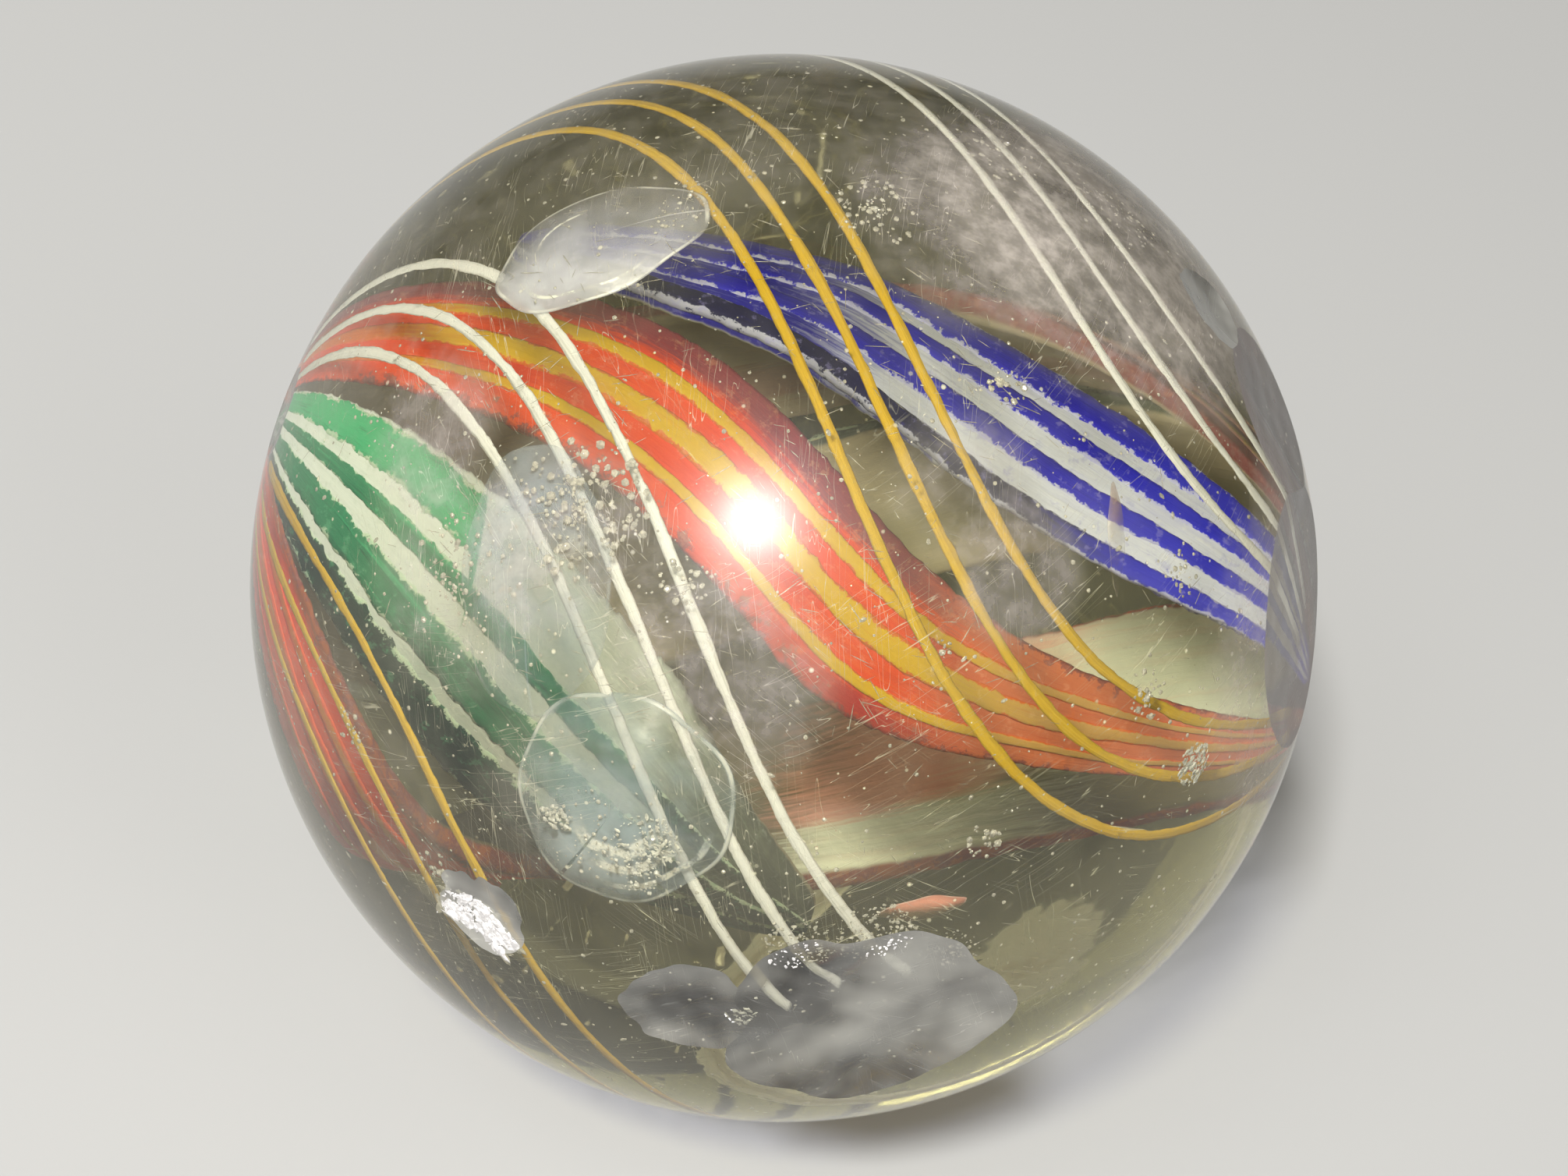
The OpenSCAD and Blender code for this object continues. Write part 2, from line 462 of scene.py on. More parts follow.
def strand_tree(swirl: Swirl, kind: Kind) -> bpy.types.NodeTree:
    """Builds the tree that makes a strand by the swirl's rule.

    A bar is laid along the run, then each of its points is wrapped round the axis. The
    attribute lay keeps where a point is: across, outside, along. Across runs over the whole
    ribbon, also on a stripe; brink runs across the strand itself.

    Args:
        swirl: the rule.
        kind: ribbons and their stripes, or threads.

    Returns:
        The tree.
    """
    own = {Kind.RIBBON: ("Low Middle", "Low Left", "Low Right", "High Middle", "High Left", "High Right",
                         "Place", "Half Share", "Least Half", "Left Tip", "Right Tip", "Bulge", "Lift"),
           Kind.THREAD: ("Start Angle", "Half Width")}[kind]
    shared = ("Twist", "Reach", "Thickness", "Left Run", "Right Run", "Taper", "Flatness",
              "Wander", "Ragged", "Swell", "Seed")
    tree = GeometryTree(f"Swirl {kind.value}", {
        **{name: NUMBER for name in (*own, *shared)},
        "Rings": WHOLE, "Section Points": WHOLE, "Material": MATERIAL})
    radius = swirl.radius

    bar = tree.add("GeometryNodeMeshCylinder", {"fill_type": "NGON"}, Radius=1.0, Depth=2.0,
                   Vertices=tree.given.outputs["Section Points"], Side_Segments=tree.given.outputs["Rings"])
    here = tree.add("GeometryNodeInputPosition").outputs[0]
    straight = tree.stored(bar.outputs["Mesh"], "lay", here, "FLOAT_VECTOR")

    across, edge, along = tree.parts(tree.read("lay", "FLOAT_VECTOR"))
    flatness = tree.input("Flatness")
    outside = (edge * flatness).worked("TANH") / flatness.worked("TANH")

    # share of the run, closer together at both ends
    left, right = tree.input("Left Run"), tree.input("Right Run")
    share = (right - left) * 0.5 + (right + left) * 0.5 * (along * 90.0).sin()
    squared = share * share
    twist = tree.input("Twist")
    close = squared.rest().root()
    mid_reach = tree.input("Reach")

    # soft unevenness: the strand wanders, swells and thins, and its edges are ragged
    seed = tree.input("Seed")
    wander = tree.noise(tree.vector(share * swirl.wander_pace, 0.0, seed), 1.0, 1.0) - 0.5
    swell = tree.noise(tree.vector(share * swirl.swell_pace, 5.0, seed), 1.0, 2.0) - 0.5
    side = across.worked("SIGN") * 3.0
    ragged = tree.noise(tree.vector(share * swirl.ragged_pace, side, seed), 1.0, 4.0, 0.72) - 0.5
    fringe = ragged * tree.input("Ragged") * across.worked("ABSOLUTE")
    end = (along.worked("ABSOLUTE").rest() / tree.input("Taper")).limited()
    end = (end * (end * -1.0 + 2.0)).worked("MAXIMUM", LEAST_END)
    uneven = (swell * tree.input("Swell") + fringe + 1.0) * end

    if kind is Kind.RIBBON:
        low = edge_course(tree, "Low", share, twist)
        high = edge_course(tree, "High", share, twist)
        thinning = (((right - share) / tree.input("Right Tip")).limited()
                    * ((share + left) / tree.input("Left Tip")).limited()).root()
        whole = (high - low) * 0.5 * thinning
        half = (whole * tree.input("Half Share")).worked("MAXIMUM", tree.input("Least Half"))
        middle = (low + high) * 0.5 + tree.input("Place") * whole
        place = tree.input("Place") + across * tree.input("Half Share")
        ease = ((share * -1.0 - swirl.bulge_from) * (1 / swirl.bulge_over)).limited()
        ease = ease * ease * (ease * -2.0 + 3.0)
        middle = middle + tree.input("Lift") * ease
        mid_reach = mid_reach + tree.input("Bulge") * ease
    else:
        turn = twist * share * -1.0 + squared * swirl.drift + twist * squared * share * swirl.slowing
        slowed = twist * squared * (3 * swirl.slowing)
        slope = (twist * -1.0 + share * (2 * swirl.drift) + slowed) * math.radians(1)
        ring = mid_reach * close
        lengthening = (mid_reach * share * mid_reach * share / (close * close) + 1.0).root()
        steep = ring * slope / lengthening
        half = tree.input("Half Width") * (steep * steep + 1.0).root() / (ring * radius) * math.degrees(1)
        middle = tree.input("Start Angle") + turn
        place = across
    angle = middle + across * half * uneven + wander * tree.input("Wander")
    reach = mid_reach + outside * tree.input("Thickness") * 0.5 * (end * 0.7 + 0.3)

    out = reach * close
    rise, fore = out * angle.sin(), out * angle.cos()
    run = share * swirl.pole_reach
    lean = share * swirl.lean
    x = run * lean.cos() - rise * lean.sin()
    v = run * lean.sin() + rise * lean.cos()
    up, flat = math.sin(math.radians(swirl.start_line)), math.cos(math.radians(swirl.start_line))
    target = tree.vector(x * radius, (v * up - fore * flat) * radius, (v * flat + fore * up) * radius)
    wrapped = tree.add("GeometryNodeSetPosition", Geometry=straight, Position=target)
    brinked = tree.stored(wrapped.outputs[0], "brink", across, "FLOAT")
    laid = tree.stored(brinked, "lay", tree.vector(place, outside, share), "FLOAT_VECTOR")
    return tree.finished(laid)


def grain_tree(swirl: Swirl, worn: "tuple[WornPlace, ...]") -> bpy.types.NodeTree:
    """Builds the tree that scatters grains or hairs just under the skin.

    Args:
        swirl: the rule, for the radius.
        worn: the worn places, which the grains stay under.

    Returns:
        The tree. Its grains lie within Spread of the turned place, Depth under the skin, each
        with its own size, spin and broken shape.
    """
    tree = GeometryTree("Scattered grains", {
        "Count": WHOLE, "Spread": NUMBER, "Gathered": NUMBER, "Depth": NUMBER, "Size": NUMBER,
        "Size Range": NUMBER, "Stretch": NUMBER, "Flat": NUMBER, "Spin": NUMBER, "Spin Range": NUMBER,
        "Seed": WHOLE, "Turned": "NodeSocketRotation", "Material": MATERIAL})

    def chance(low: float, high: float, own_seed: int) -> Number:
        """Gives each grain a number of its own.

        Args:
            low: the least it can be.
            high: the most.
            own_seed: sets this draw apart from the others.

        Returns:
            The number.
        """
        seed = tree.input("Seed") * 17.0 + own_seed
        node = tree.add("FunctionNodeRandomValue", {"data_type": "FLOAT"})
        for index, value in ((2, low), (3, high), (8, seed)):
            put(tree.nodes, node.inputs[index], value)
        return tree.number(node.outputs[1])

    grain = tree.add("GeometryNodeMeshIcoSphere", Radius=0.5, Subdivisions=1)
    here = tree.add("GeometryNodeInputPosition").outputs[0]
    points = tree.add("GeometryNodePoints", Count=tree.given.outputs["Count"])
    spread = tree.input("Spread").cos()
    share = chance(0.0, 1.0, 1).worked("POWER", tree.input("Gathered"))
    away = (share * spread.rest()).rest().worked("ARCCOSINE")
    around = chance(0.0, 360.0, 2)
    down = tree.input("Depth") * chance(0.4, 1.6, 3)
    flat_part, up_part = away.worked("SINE"), away.worked("COSINE")
    way = tree.vector(flat_part * around.cos(), flat_part * around.sin(), up_part)
    aimed = tree.add("FunctionNodeRotateVector", Vector=way, Rotation=tree.given.outputs["Turned"])
    ux, uy, uz = tree.parts(aimed.outputs[0])
    surface = tree.fixed(swirl.radius)
    for place in worn:
        ax, ay, az = (float(v) for v in place.spot.turned(swirl)[:, 2])
        nearness = (ux * ax + uy * ay + uz * az).worked("MAXIMUM", 0.05)
        low = tree.fixed(swirl.radius * math.cos(math.radians(place.half_angle)))
        if place.cut is Cut.HOLLOW:
            rim = swirl.radius * math.sin(math.radians(place.half_angle))
            low = low + ((nearness * nearness).rest() * swirl.radius ** 2 - rim ** 2) / (2 * place.hollow)
        surface = surface.worked("MINIMUM", low / nearness - place.ripple)
    out = (surface - down).worked("MINIMUM", swirl.radius - GRAIN_COVER)
    flatly = flat_part * out
    spot = tree.vector(flatly * around.cos(), flatly * around.sin(), up_part * out)
    laid = tree.add("GeometryNodeSetPosition", Geometry=points.outputs[0], Position=spot)
    # each grain lies flat on the skin, turned about the way outwards
    facing = tree.add("FunctionNodeAlignRotationToVector", {"axis": "Z"}, Vector=spot)
    spin = tree.input("Spin") + tree.input("Spin Range") * chance(-1.0, 1.0, 4)
    about = tree.add("FunctionNodeAxisAngleToRotation", Axis=(0.0, 0.0, 1.0), Angle=spin * math.radians(1))
    turned = tree.add("FunctionNodeRotateRotation", {"rotation_space": "LOCAL"},
                      Rotation=facing.outputs[0], Rotate_By=about.outputs[0])
    size = tree.input("Size") * (chance(0.0, 1.0, 5).worked("POWER", 3.0) * tree.input("Size Range") + 1.0)
    width = size / tree.input("Stretch").root()
    scale = tree.vector(size * tree.input("Stretch").root(), width, width * tree.input("Flat"))
    grains = tree.add("GeometryNodeInstanceOnPoints", Points=laid.outputs[0], Instance=grain.outputs[0],
                      Rotation=turned.outputs[0], Scale=scale)
    real = tree.add("GeometryNodeRealizeInstances", Geometry=grains.outputs[0])
    jolt = tree.add("ShaderNodeTexNoise", Vector=here, Scale=BREAKS, Detail=1.0)
    offset = tree.add("ShaderNodeVectorMath", {"operation": "SUBTRACT"})
    put(tree.nodes, offset.inputs[0], jolt.outputs["Color"])
    offset.inputs[1].default_value = (0.5, 0.5, 0.5)
    scaled = tree.add("ShaderNodeVectorMath", {"operation": "SCALE"})
    put(tree.nodes, scaled.inputs[0], offset.outputs[0])
    put(tree.nodes, scaled.inputs["Scale"], tree.input("Size") * 0.9)
    broken = tree.add("GeometryNodeSetPosition", Geometry=real.outputs[0], Offset=scaled.outputs[0])
    put_in_place = tree.add("GeometryNodeTransform", Geometry=broken.outputs[0],
                            Rotation=tree.given.outputs["Turned"])
    return tree.finished(put_in_place.outputs[0], rounded=False)


# ---- finishes ----


class ShaderTree(Tree):
    """A material's node tree, cleared, with its output and its own mapped places."""

    def __init__(self, name: str) -> None:
        """Makes the material and clears its tree."""
        self.material = bpy.data.materials.new(name)
        self.material.use_nodes = True
        super().__init__(self.material.node_tree)
        self.nodes.nodes.clear()
        self.end = self.nodes.nodes.new("ShaderNodeOutputMaterial")
        self.place = self.add("ShaderNodeTexCoord").outputs["Object"]

    def lay(self) -> list[Number]:
        """Across, outside and along on a strand."""
        return self.parts(self.add("ShaderNodeAttribute", {"attribute_name": "lay"}).outputs["Vector"])

    def brink(self) -> Number:
        """How near a strand's own edge, from 0 at its middle to 1."""
        across = self.add("ShaderNodeAttribute", {"attribute_name": "brink"}).outputs["Fac"]
        return self.number(across).worked("ABSOLUTE")

    def blend(self, factor: "Number | float", first: object, second: object) -> bpy.types.NodeSocket:
        """Changes one colour into another.

        Args:
            factor: 0 for the first, 1 for the second.
            first: a colour or a colour's socket.
            second: the same.

        Returns:
            The socket of the blend.
        """
        node = self.add("ShaderNodeMix", {"data_type": "RGBA"})
        for index, value in ((0, factor), (6, first), (7, second)):
            put(self.nodes, node.inputs[index], (*value, 1.0) if isinstance(value, tuple) else value)
        return node.outputs[2]

    def mixed(self, factor: "Number | float", first: bpy.types.Node,
              second: bpy.types.Node) -> bpy.types.Node:
        """Mixes two shaders.

        Args:
            factor: 0 for the first, 1 for the second.
            first: a shader.
            second: another.

        Returns:
            The mixed one.
        """
        node = self.nodes.nodes.new("ShaderNodeMixShader")
        put(self.nodes, node.inputs[0], factor)
        self.nodes.links.new(first.outputs[0], node.inputs[1])
        self.nodes.links.new(second.outputs[0], node.inputs[2])
        return node

    def bumped(self, height: Number, strength: float, distance: float) -> bpy.types.NodeSocket:
        """A bump of a height, for a Normal input."""
        return self.add("ShaderNodeBump", Strength=strength, Distance=distance, Height=height).outputs[0]

    def done(self, shader: bpy.types.Node) -> bpy.types.Material:
        """Links the shader to the output and gives the material."""
        self.nodes.links.new(shader.outputs[0], self.end.inputs["Surface"])
        return self.material


@dataclass(frozen=True)
class StreakedGlass:
    """Coloured glass drawn out along the swirl, frayed into fine fibres.

    colour is its own shade and light and deep are its streaks. The low margin's colour, past a
    place across the ribbon and only to the right of low_from, is painted shade. The high margin's
    colour, past high_from, is painted shade on the red and blue ribbons and painted light on the
    green one. rightward and leftward take over past a share of the run. Needles of the colour fray
    grow in from a strand's edges, and small flecks lie all over.

    inside shows on the face towards the axis. inside_band lies on it between two places across
    and up to a share of the run. inside_dim covers it left of dim_until, and right of dim_from
    where that is above dim_above. A place that is never reached leaves any of them out.

    grain and fibre say how strong the streaks and the fibres are, streaks how many lie side by
    side, and relief how deep they are. The scales say how fine the needles and specks are.
    """

    name: str
    colour: Colour
    light: Colour
    deep: Colour
    inside: Colour
    inside_band: Colour
    # the low margin's colour is painted shade; the high margin's is painted shade for red and blue and
    # painted light for green
    low_side_shade: Colour = (0.0, 0.0, 0.0)
    low_until: float = -2.0
    low_from: float = -2.0
    high_side_light_and_shade: Colour = (0.0, 0.0, 0.0)
    high_from: float = 2.0
    rightward: Colour = (0.0, 0.0, 0.0)
    right_from: float = 2.0
    leftward: Colour = (0.0, 0.0, 0.0)
    left_until: float = -2.0
    fray: Colour = (0.0, 0.0, 0.0)
    fray_from: float = 3.0
    fleck: Colour = (0.5, 0.5, 0.5)
    flecks: float = 0.0
    band_low: float = 0.05
    band_high: float = 0.6
    band_until: float = 2.0
    inside_dim: Colour = (0.0, 0.0, 0.0)
    dim_until: float = -2.0
    dim_from: float = 2.0
    dim_above: float = 0.25
    streaks: float = 9.0
    grain: float = 0.5
    fibre: float = 0.3
    roughness: float = 0.45
    relief: float = 0.35
    needle_scale: float = 4300.0
    speck_scale: float = 5200.0

    def outer(self, t: ShaderTree, across: Number, frayed: Number, along: Number,
              noises: tuple[Number, Number, Number]) -> bpy.types.NodeSocket:
        """Mixes the colour of the face towards the skin.

        Args:
            t: the material's tree.
            across: the place across the ribbon.
            frayed: the same, frayed by the fibres.
            along: the share of the run.
            noises: the fine streaks, the fibres and the specks.

        Returns:
            The colour's socket.
        """
        fine, fibres, specks = noises
        broad = t.noise(t.vector(across * 2.2 + 7.0, along * 5.0, 1.0), 1.0, 2.0)
        needles = t.noise(t.place, self.needle_scale, 4.0, 0.75)
        shade = t.blend(fine.stepped(0.52, 0.78) * self.grain, self.colour, self.light)
        shade = t.blend(broad.stepped(0.52, 0.8) * 0.6, shade, self.deep)
        # painted shade on the low margin, then on the high margin painted shade for red and blue and painted
        # light for green
        low = frayed.past(self.low_until, 0.12).rest() * along.past(self.low_from, 0.2)
        shade = t.blend(low, shade, self.low_side_shade)
        shade = t.blend(frayed.past(self.high_from, 0.12), shade, self.high_side_light_and_shade)
        right = (along + (fibres - 0.5) * 0.2).past(self.right_from, 0.12)
        shade = t.blend(right, shade, self.rightward)
        left = (along + (fibres - 0.5) * 0.3).past(self.left_until, 0.1).rest()
        shade = t.blend(left, shade, self.leftward)
        shade = t.blend(specks.stepped(0.60, 0.78) * 0.35, shade, self.light)
        shade = t.blend(fibres.stepped(0.54, 0.72) * self.fibre, shade, self.deep)
        edge = (t.brink() + (needles - 0.5) * 1.5 - self.fray_from).stepped(0.0, 0.12)
        shade = t.blend(edge * 0.85, shade, self.fray)
        return t.blend(needles.stepped(0.55, 0.66) * self.flecks, shade, self.fleck)

    def inner(self, t: ShaderTree, frayed: Number, along: Number, fine: Number,
              fibres: Number) -> bpy.types.NodeSocket:
        """Mixes the colour of the face towards the axis.

        Args:
            t: the material's tree.
            frayed: the place across the ribbon, frayed by the fibres.
            along: the share of the run.
            fine: the noise of the fine streaks.
            fibres: the noise of the fibres.

        Returns:
            The colour's socket.
        """
        band = (frayed.past(self.band_low, 0.1) * (frayed * -1.0 + self.band_high).stepped(-0.1, 0.1)
                * ((fibres - 0.5) * 0.2 - along + self.band_until).stepped(-0.1, 0.1))
        within = t.blend(band, self.inside, self.inside_band)
        within = t.blend(fine.stepped(0.45, 0.8) * 0.25, within, self.inside_band)
        run = along + (fibres - 0.5) * 0.2
        dim = run.past(self.dim_from, 0.1) * frayed.past(self.dim_above, 0.15)
        dim = dim.worked("MAXIMUM", run.past(self.dim_until, 0.06).rest())
        return t.blend(dim, within, self.inside_dim)

    def material(self) -> bpy.types.Material:
        """Builds the finish.

        Returns:
            The material.
        """
        t = ShaderTree(self.name)
        across, outside, along = t.lay()
        fine = t.noise(t.vector(across * self.streaks, along * 3.0, outside), 1.0, 4.0, 0.62)
        fibres = t.noise(t.vector(across * 26.0, along * 11.0, outside + 3.0), 1.0, 3.0, 0.7)
        specks = t.noise(t.place, self.speck_scale, 3.0, 0.6)
        frayed = across + (fibres - 0.5) * 0.5
        shade = self.outer(t, across, frayed, along, (fine, fibres, specks))
        within = self.inner(t, frayed, along, fine, fibres)
        colour = t.blend(outside.stepped(-0.75, -0.35), within, shade)
        glass = t.add("ShaderNodeBsdfPrincipled", Base_Color=colour, Roughness=fine * 0.2 + self.roughness,
                      Specular_IOR_Level=0.12, Normal=t.bumped(fine + specks * 0.6, self.relief, 0.00005))
        return t.done(glass)


@dataclass(frozen=True)
class Frost:
    """A part of the skin that wear has turned hazy."""

    spot: Spot
    half_angle: float
    amount: float


@dataclass(frozen=True)
class ClearGlass:
    """Clear glass with a faint tint, fine pits and hair scratches, and a haze where it is worn.

    base, tint and density colour the glass. haze is how much of the surface its dust covers, in
    clouds that patchy makes hard or soft, and crust_roughness is how dull the dust is. marks is
    how strong the pits and scratches show and sheen how much the skin mirrors. Frosts add dust of
    frost_colour at their places. let_through is what the ball's shadow lets through. The scales
    say how fine each pattern is, and each of the scratch_ways is the turn and the seed of one set
    of scratches.
    """

    name: str
    haze: float
    roughness: float
    scratch_depth: float
    marks: float = 0.8
    frosts: tuple[Frost, ...] = ()
    base: Colour = (0.170, 0.160, 0.080)
    tint: Colour = (0.87, 0.845, 0.62)
    density: float = 60.0
    sheen: float = 0.022
    haze_colour: Colour = (0.36, 0.34, 0.22)
    frost_colour: Colour = (0.34, 0.305, 0.265)
    let_through: Colour = (0.83, 0.84, 0.92)
    crust_roughness: float = 0.5
    patchy: float = 0.3
    cloud_scale: float = 330.0
    fuzz_scale: float = 2600.0
    wave_scale: float = 900.0
    pit_scale: float = 3800.0
    patch_scale: float = 620.0
    scratch_scale: float = 7200.0
    scratch_run: float = 420.0
    scratch_width: float = 0.006
    scratch_ways: tuple[tuple[float, float], ...] = ((0.35, 1.0), (1.15, 4.0), (2.2, 9.0))

    def pitted(self, t: ShaderTree) -> Number:
        """Marks the pits, each with its own size and brightness."""
        pits = t.add("ShaderNodeTexVoronoi", {"feature": "F1"}, Vector=t.place, Scale=self.pit_scale)
        pit = t.number(pits.outputs["Distance"])
        chance, size, dimness = t.parts(pits.outputs["Color"])
        round_pit = (pit / (size * size * 0.9 + 0.25)).stepped(0.07, 0.20).rest()
        return round_pit * chance.stepped(0.66, 0.70) * (dimness * 0.75 + 0.25)

    def scratched(self, t: ShaderTree, swirl: Swirl) -> Number:
        """Marks the hair scratches, which run where a drawn-out noise crosses its middle value.

        Args:
            t: the material's tree.
            swirl: the rule, for the radius.

        Returns:
            1 in a scratch, 0 beside it.
        """
        x, y, z = t.parts(t.place)
        scratches = t.fixed(0.0)
        for turn, seed in self.scratch_ways:
            c, s = math.cos(turn), math.sin(turn)
            sideways = x * c + z * s
            drawn = t.vector(sideways * self.scratch_scale,
                             (z * c - x * s + y * 0.6) * self.scratch_run, y * self.scratch_run + seed)
            off = (t.noise(drawn, 1.0, 1.0) - 0.5).worked("ABSOLUTE")
            width = self.scratch_width
            line = (off * -1.0 + width).limited(0.0, width) * (1 / width)
            patch = t.vector(x * self.patch_scale + seed, y * self.patch_scale, z * self.patch_scale)
            part = t.noise(patch, 1.0, 1.0).stepped(0.46, 0.58)
            # none where the skin faces sideways, as they would curl up there
            flat_on = (sideways / swirl.radius).worked("ABSOLUTE").stepped(0.5, 0.7).rest()
            scratches = scratches.worked("MAXIMUM", line * part * flat_on)
        return scratches

    def frosted(self, t: ShaderTree, swirl: Swirl, clouds: Number) -> Number:
        """Adds up the frosts.

        Args:
            t: the material's tree.
            swirl: the rule, for the radius.
            clouds: the noise of the haze.

        Returns:
            How much dust they put on the skin.
        """
        x, y, z = t.parts(t.place)
        fuzz = t.noise(t.place, self.fuzz_scale, 3.0, 0.7)
        dusting = clouds.stepped(0.2, 0.8) * 0.45 + fuzz.stepped(0.35, 0.75) * 0.45 + 0.2
        total = t.fixed(0.0)
        for frost in self.frosts:
            px, py, pz = (float(v) for v in frost.spot.turned(swirl)[:, 2])
            near = (x * px + y * py + z * pz) / swirl.radius
            inner = math.cos(math.radians(frost.half_angle * 0.45))
            outer = math.cos(math.radians(frost.half_angle))
            total = total + near.stepped(outer, inner) * dusting * frost.amount
        return total

    def material(self, swirl: Swirl) -> bpy.types.Material:
        """Builds the finish.

        Args:
            swirl: the rule of the ball that it is for.

        Returns:
            The material.
        """
        t = ShaderTree(self.name)
        clouds = t.noise(t.place, self.cloud_scale, 3.0, 0.6)
        pits = self.pitted(t)
        marks = pits.worked("MAXIMUM", self.scratched(t, swirl) * 0.5) * self.marks
        frosted = self.frosted(t, swirl, clouds)
        worn = clouds.stepped(0.5 - self.patchy, 0.5 + self.patchy) * self.haze + frosted
        dust = t.blend((frosted * 5.0).limited(), self.haze_colour, self.frost_colour)
        hidden = (marks + worn).limited(0.0, 0.9)
        waves = t.noise(t.place, self.wave_scale, 2.0)
        normal = t.bumped(waves * 0.5 - pits * 0.4, self.scratch_depth, 0.00002)
        glass = t.add("ShaderNodeBsdfPrincipled", Base_Color=(*self.base, 1.0), IOR=1.5,
                      Roughness=marks * 0.35 + worn * 0.25 + self.roughness,
                      Transmission_Weight=1.0, Normal=normal)
        mirror = t.add("ShaderNodeBsdfPrincipled", Base_Color=(0.9, 0.9, 0.9, 1.0), Metallic=1.0,
                       Roughness=0.30)
        crust = t.add("ShaderNodeBsdfPrincipled", Base_Color=dust, Roughness=self.crust_roughness,
                      Specular_IOR_Level=0.5, Normal=normal)
        skin = t.mixed(hidden, t.mixed(self.sheen, glass, mirror), crust)
        through = t.add("ShaderNodeBsdfTransparent", Color=(*self.let_through, 1.0))
        shadow = t.number(t.add("ShaderNodeLightPath").outputs["Is Shadow Ray"])
        body = t.add("ShaderNodeVolumeAbsorption", Color=(*self.tint, 1.0), Density=self.density)
        t.nodes.links.new(body.outputs[0], t.end.inputs["Volume"])
        return t.done(t.mixed(shadow, skin, through))


@dataclass(frozen=True)
class MoonGlass:
    """A crack under the skin: see-through on one side, cloudy on the other, with a fine rim.

    veil and cloud are how much the crack hides all over and on its bright side, and bright_turn
    is where that side is, in degrees round it. Its colour is painted light on the bright side, and
    the shadow colour is painted shade on the rest. rim is how strong its edge shows, drawn as a
    painted glint. Each arc is a painted glint line in the glint colour, as (reach, half width, turn
    in degrees, half its turn). The scales say how fine the clouds and fibres on it are.
    """

    name: str
    veil: float
    cloud: float
    bright_turn: float
    rim: float
    colour: Colour
    shadow: Colour
    arcs: tuple[tuple[float, float, float, float], ...] = ()
    glint: Colour = (0.95, 0.96, 1.0)
    cloud_scale: float = 600.0
    fibre_scale: float = 3200.0

    def material(self) -> bpy.types.Material:
        """Builds the finish.

        Returns:
            The material.
        """
        t = ShaderTree(self.name)
        reach, turn, _ = t.lay()
        clouds = t.noise(t.place, self.cloud_scale, 3.0, 0.6)
        fibres = t.noise(t.place, self.fibre_scale, 3.0, 0.7)
        # painted light on the crack's bright side; the rest gets painted shade in the shadow colour
        lit = (reach * (turn * 360.0 - self.bright_turn).cos()).stepped(-0.55, 0.75)
        soft = reach.stepped(0.55, 1.0) * -0.4 + 1.0
        cover = (lit * self.cloud + clouds.stepped(0.3, 0.75) * self.veil) * soft
        cover = cover + fibres.stepped(0.5, 0.75) * 0.22 * self.veil
        broken = t.noise(t.vector(turn * 9.0, 0.0, 3.0), 1.0, 2.0).stepped(0.38, 0.6)
        # the rim and the arcs below are painted glints
        edge = (reach.stepped(0.94, 0.97) - reach.stepped(0.985, 1.0)) * self.rim * (broken * 0.85 + 0.15)
        cover = cover.worked("MAXIMUM", edge)
        bright = edge
        for at, wide, middle, half in self.arcs:
            off = (reach + (clouds - 0.5) * 0.12 - at).worked("ABSOLUTE")
            close = (off * -1.0 + wide).stepped(0.0, wide * 0.6)
            around = (turn * 360.0 - middle).cos().stepped(math.cos(math.radians(half)), 1.0)
            around = around * (fibres.stepped(0.38, 0.55) * 0.7 + 0.3)
            bright = bright.worked("MAXIMUM", close * around)
        cover = cover.worked("MAXIMUM", bright).limited(0.0, 0.95)
        # painted light and shade of the crack, then its painted glints in the glint colour
        shade = t.blend((lit + clouds * 0.6 - 0.3).limited(), self.shadow, self.colour)
        shade = t.blend(bright, shade, self.glint)
        silver = t.add("ShaderNodeBsdfPrincipled", Base_Color=shade, Roughness=0.3,
                       Specular_IOR_Level=0.7, Normal=t.bumped(clouds + fibres * 0.3, 0.3, 0.0001))
        clear = t.add("ShaderNodeBsdfTransparent", Color=(1.0, 1.0, 1.0, 1.0))
        return t.done(t.mixed(cover, clear, silver))


@dataclass(frozen=True)
class CrushedGlass:
    """Glass crushed at a knock, as bright grains and hairs. clarity is how much shows through."""

    name: str
    colour: Colour = (0.95, 0.92, 0.90)
    roughness: float = 0.22
    clarity: float = 0.3

    def material(self) -> bpy.types.Material:
        """Builds the finish.

        Returns:
            The material.
        """
        t = ShaderTree(self.name)
        grains = t.noise(t.place, 9000.0, 3.0, 0.7)
        colour = t.blend(grains.stepped(0.4, 0.7), tuple(c * 0.5 for c in self.colour), self.colour)
        glass = t.add("ShaderNodeBsdfPrincipled", Base_Color=colour, Roughness=self.roughness,
                      Specular_IOR_Level=0.9, Normal=t.bumped(grains, 0.5, 0.00003))
        clear = t.add("ShaderNodeBsdfTransparent", Color=(1.0, 1.0, 1.0, 1.0))
        return t.done(t.mixed(self.clarity, glass, clear))


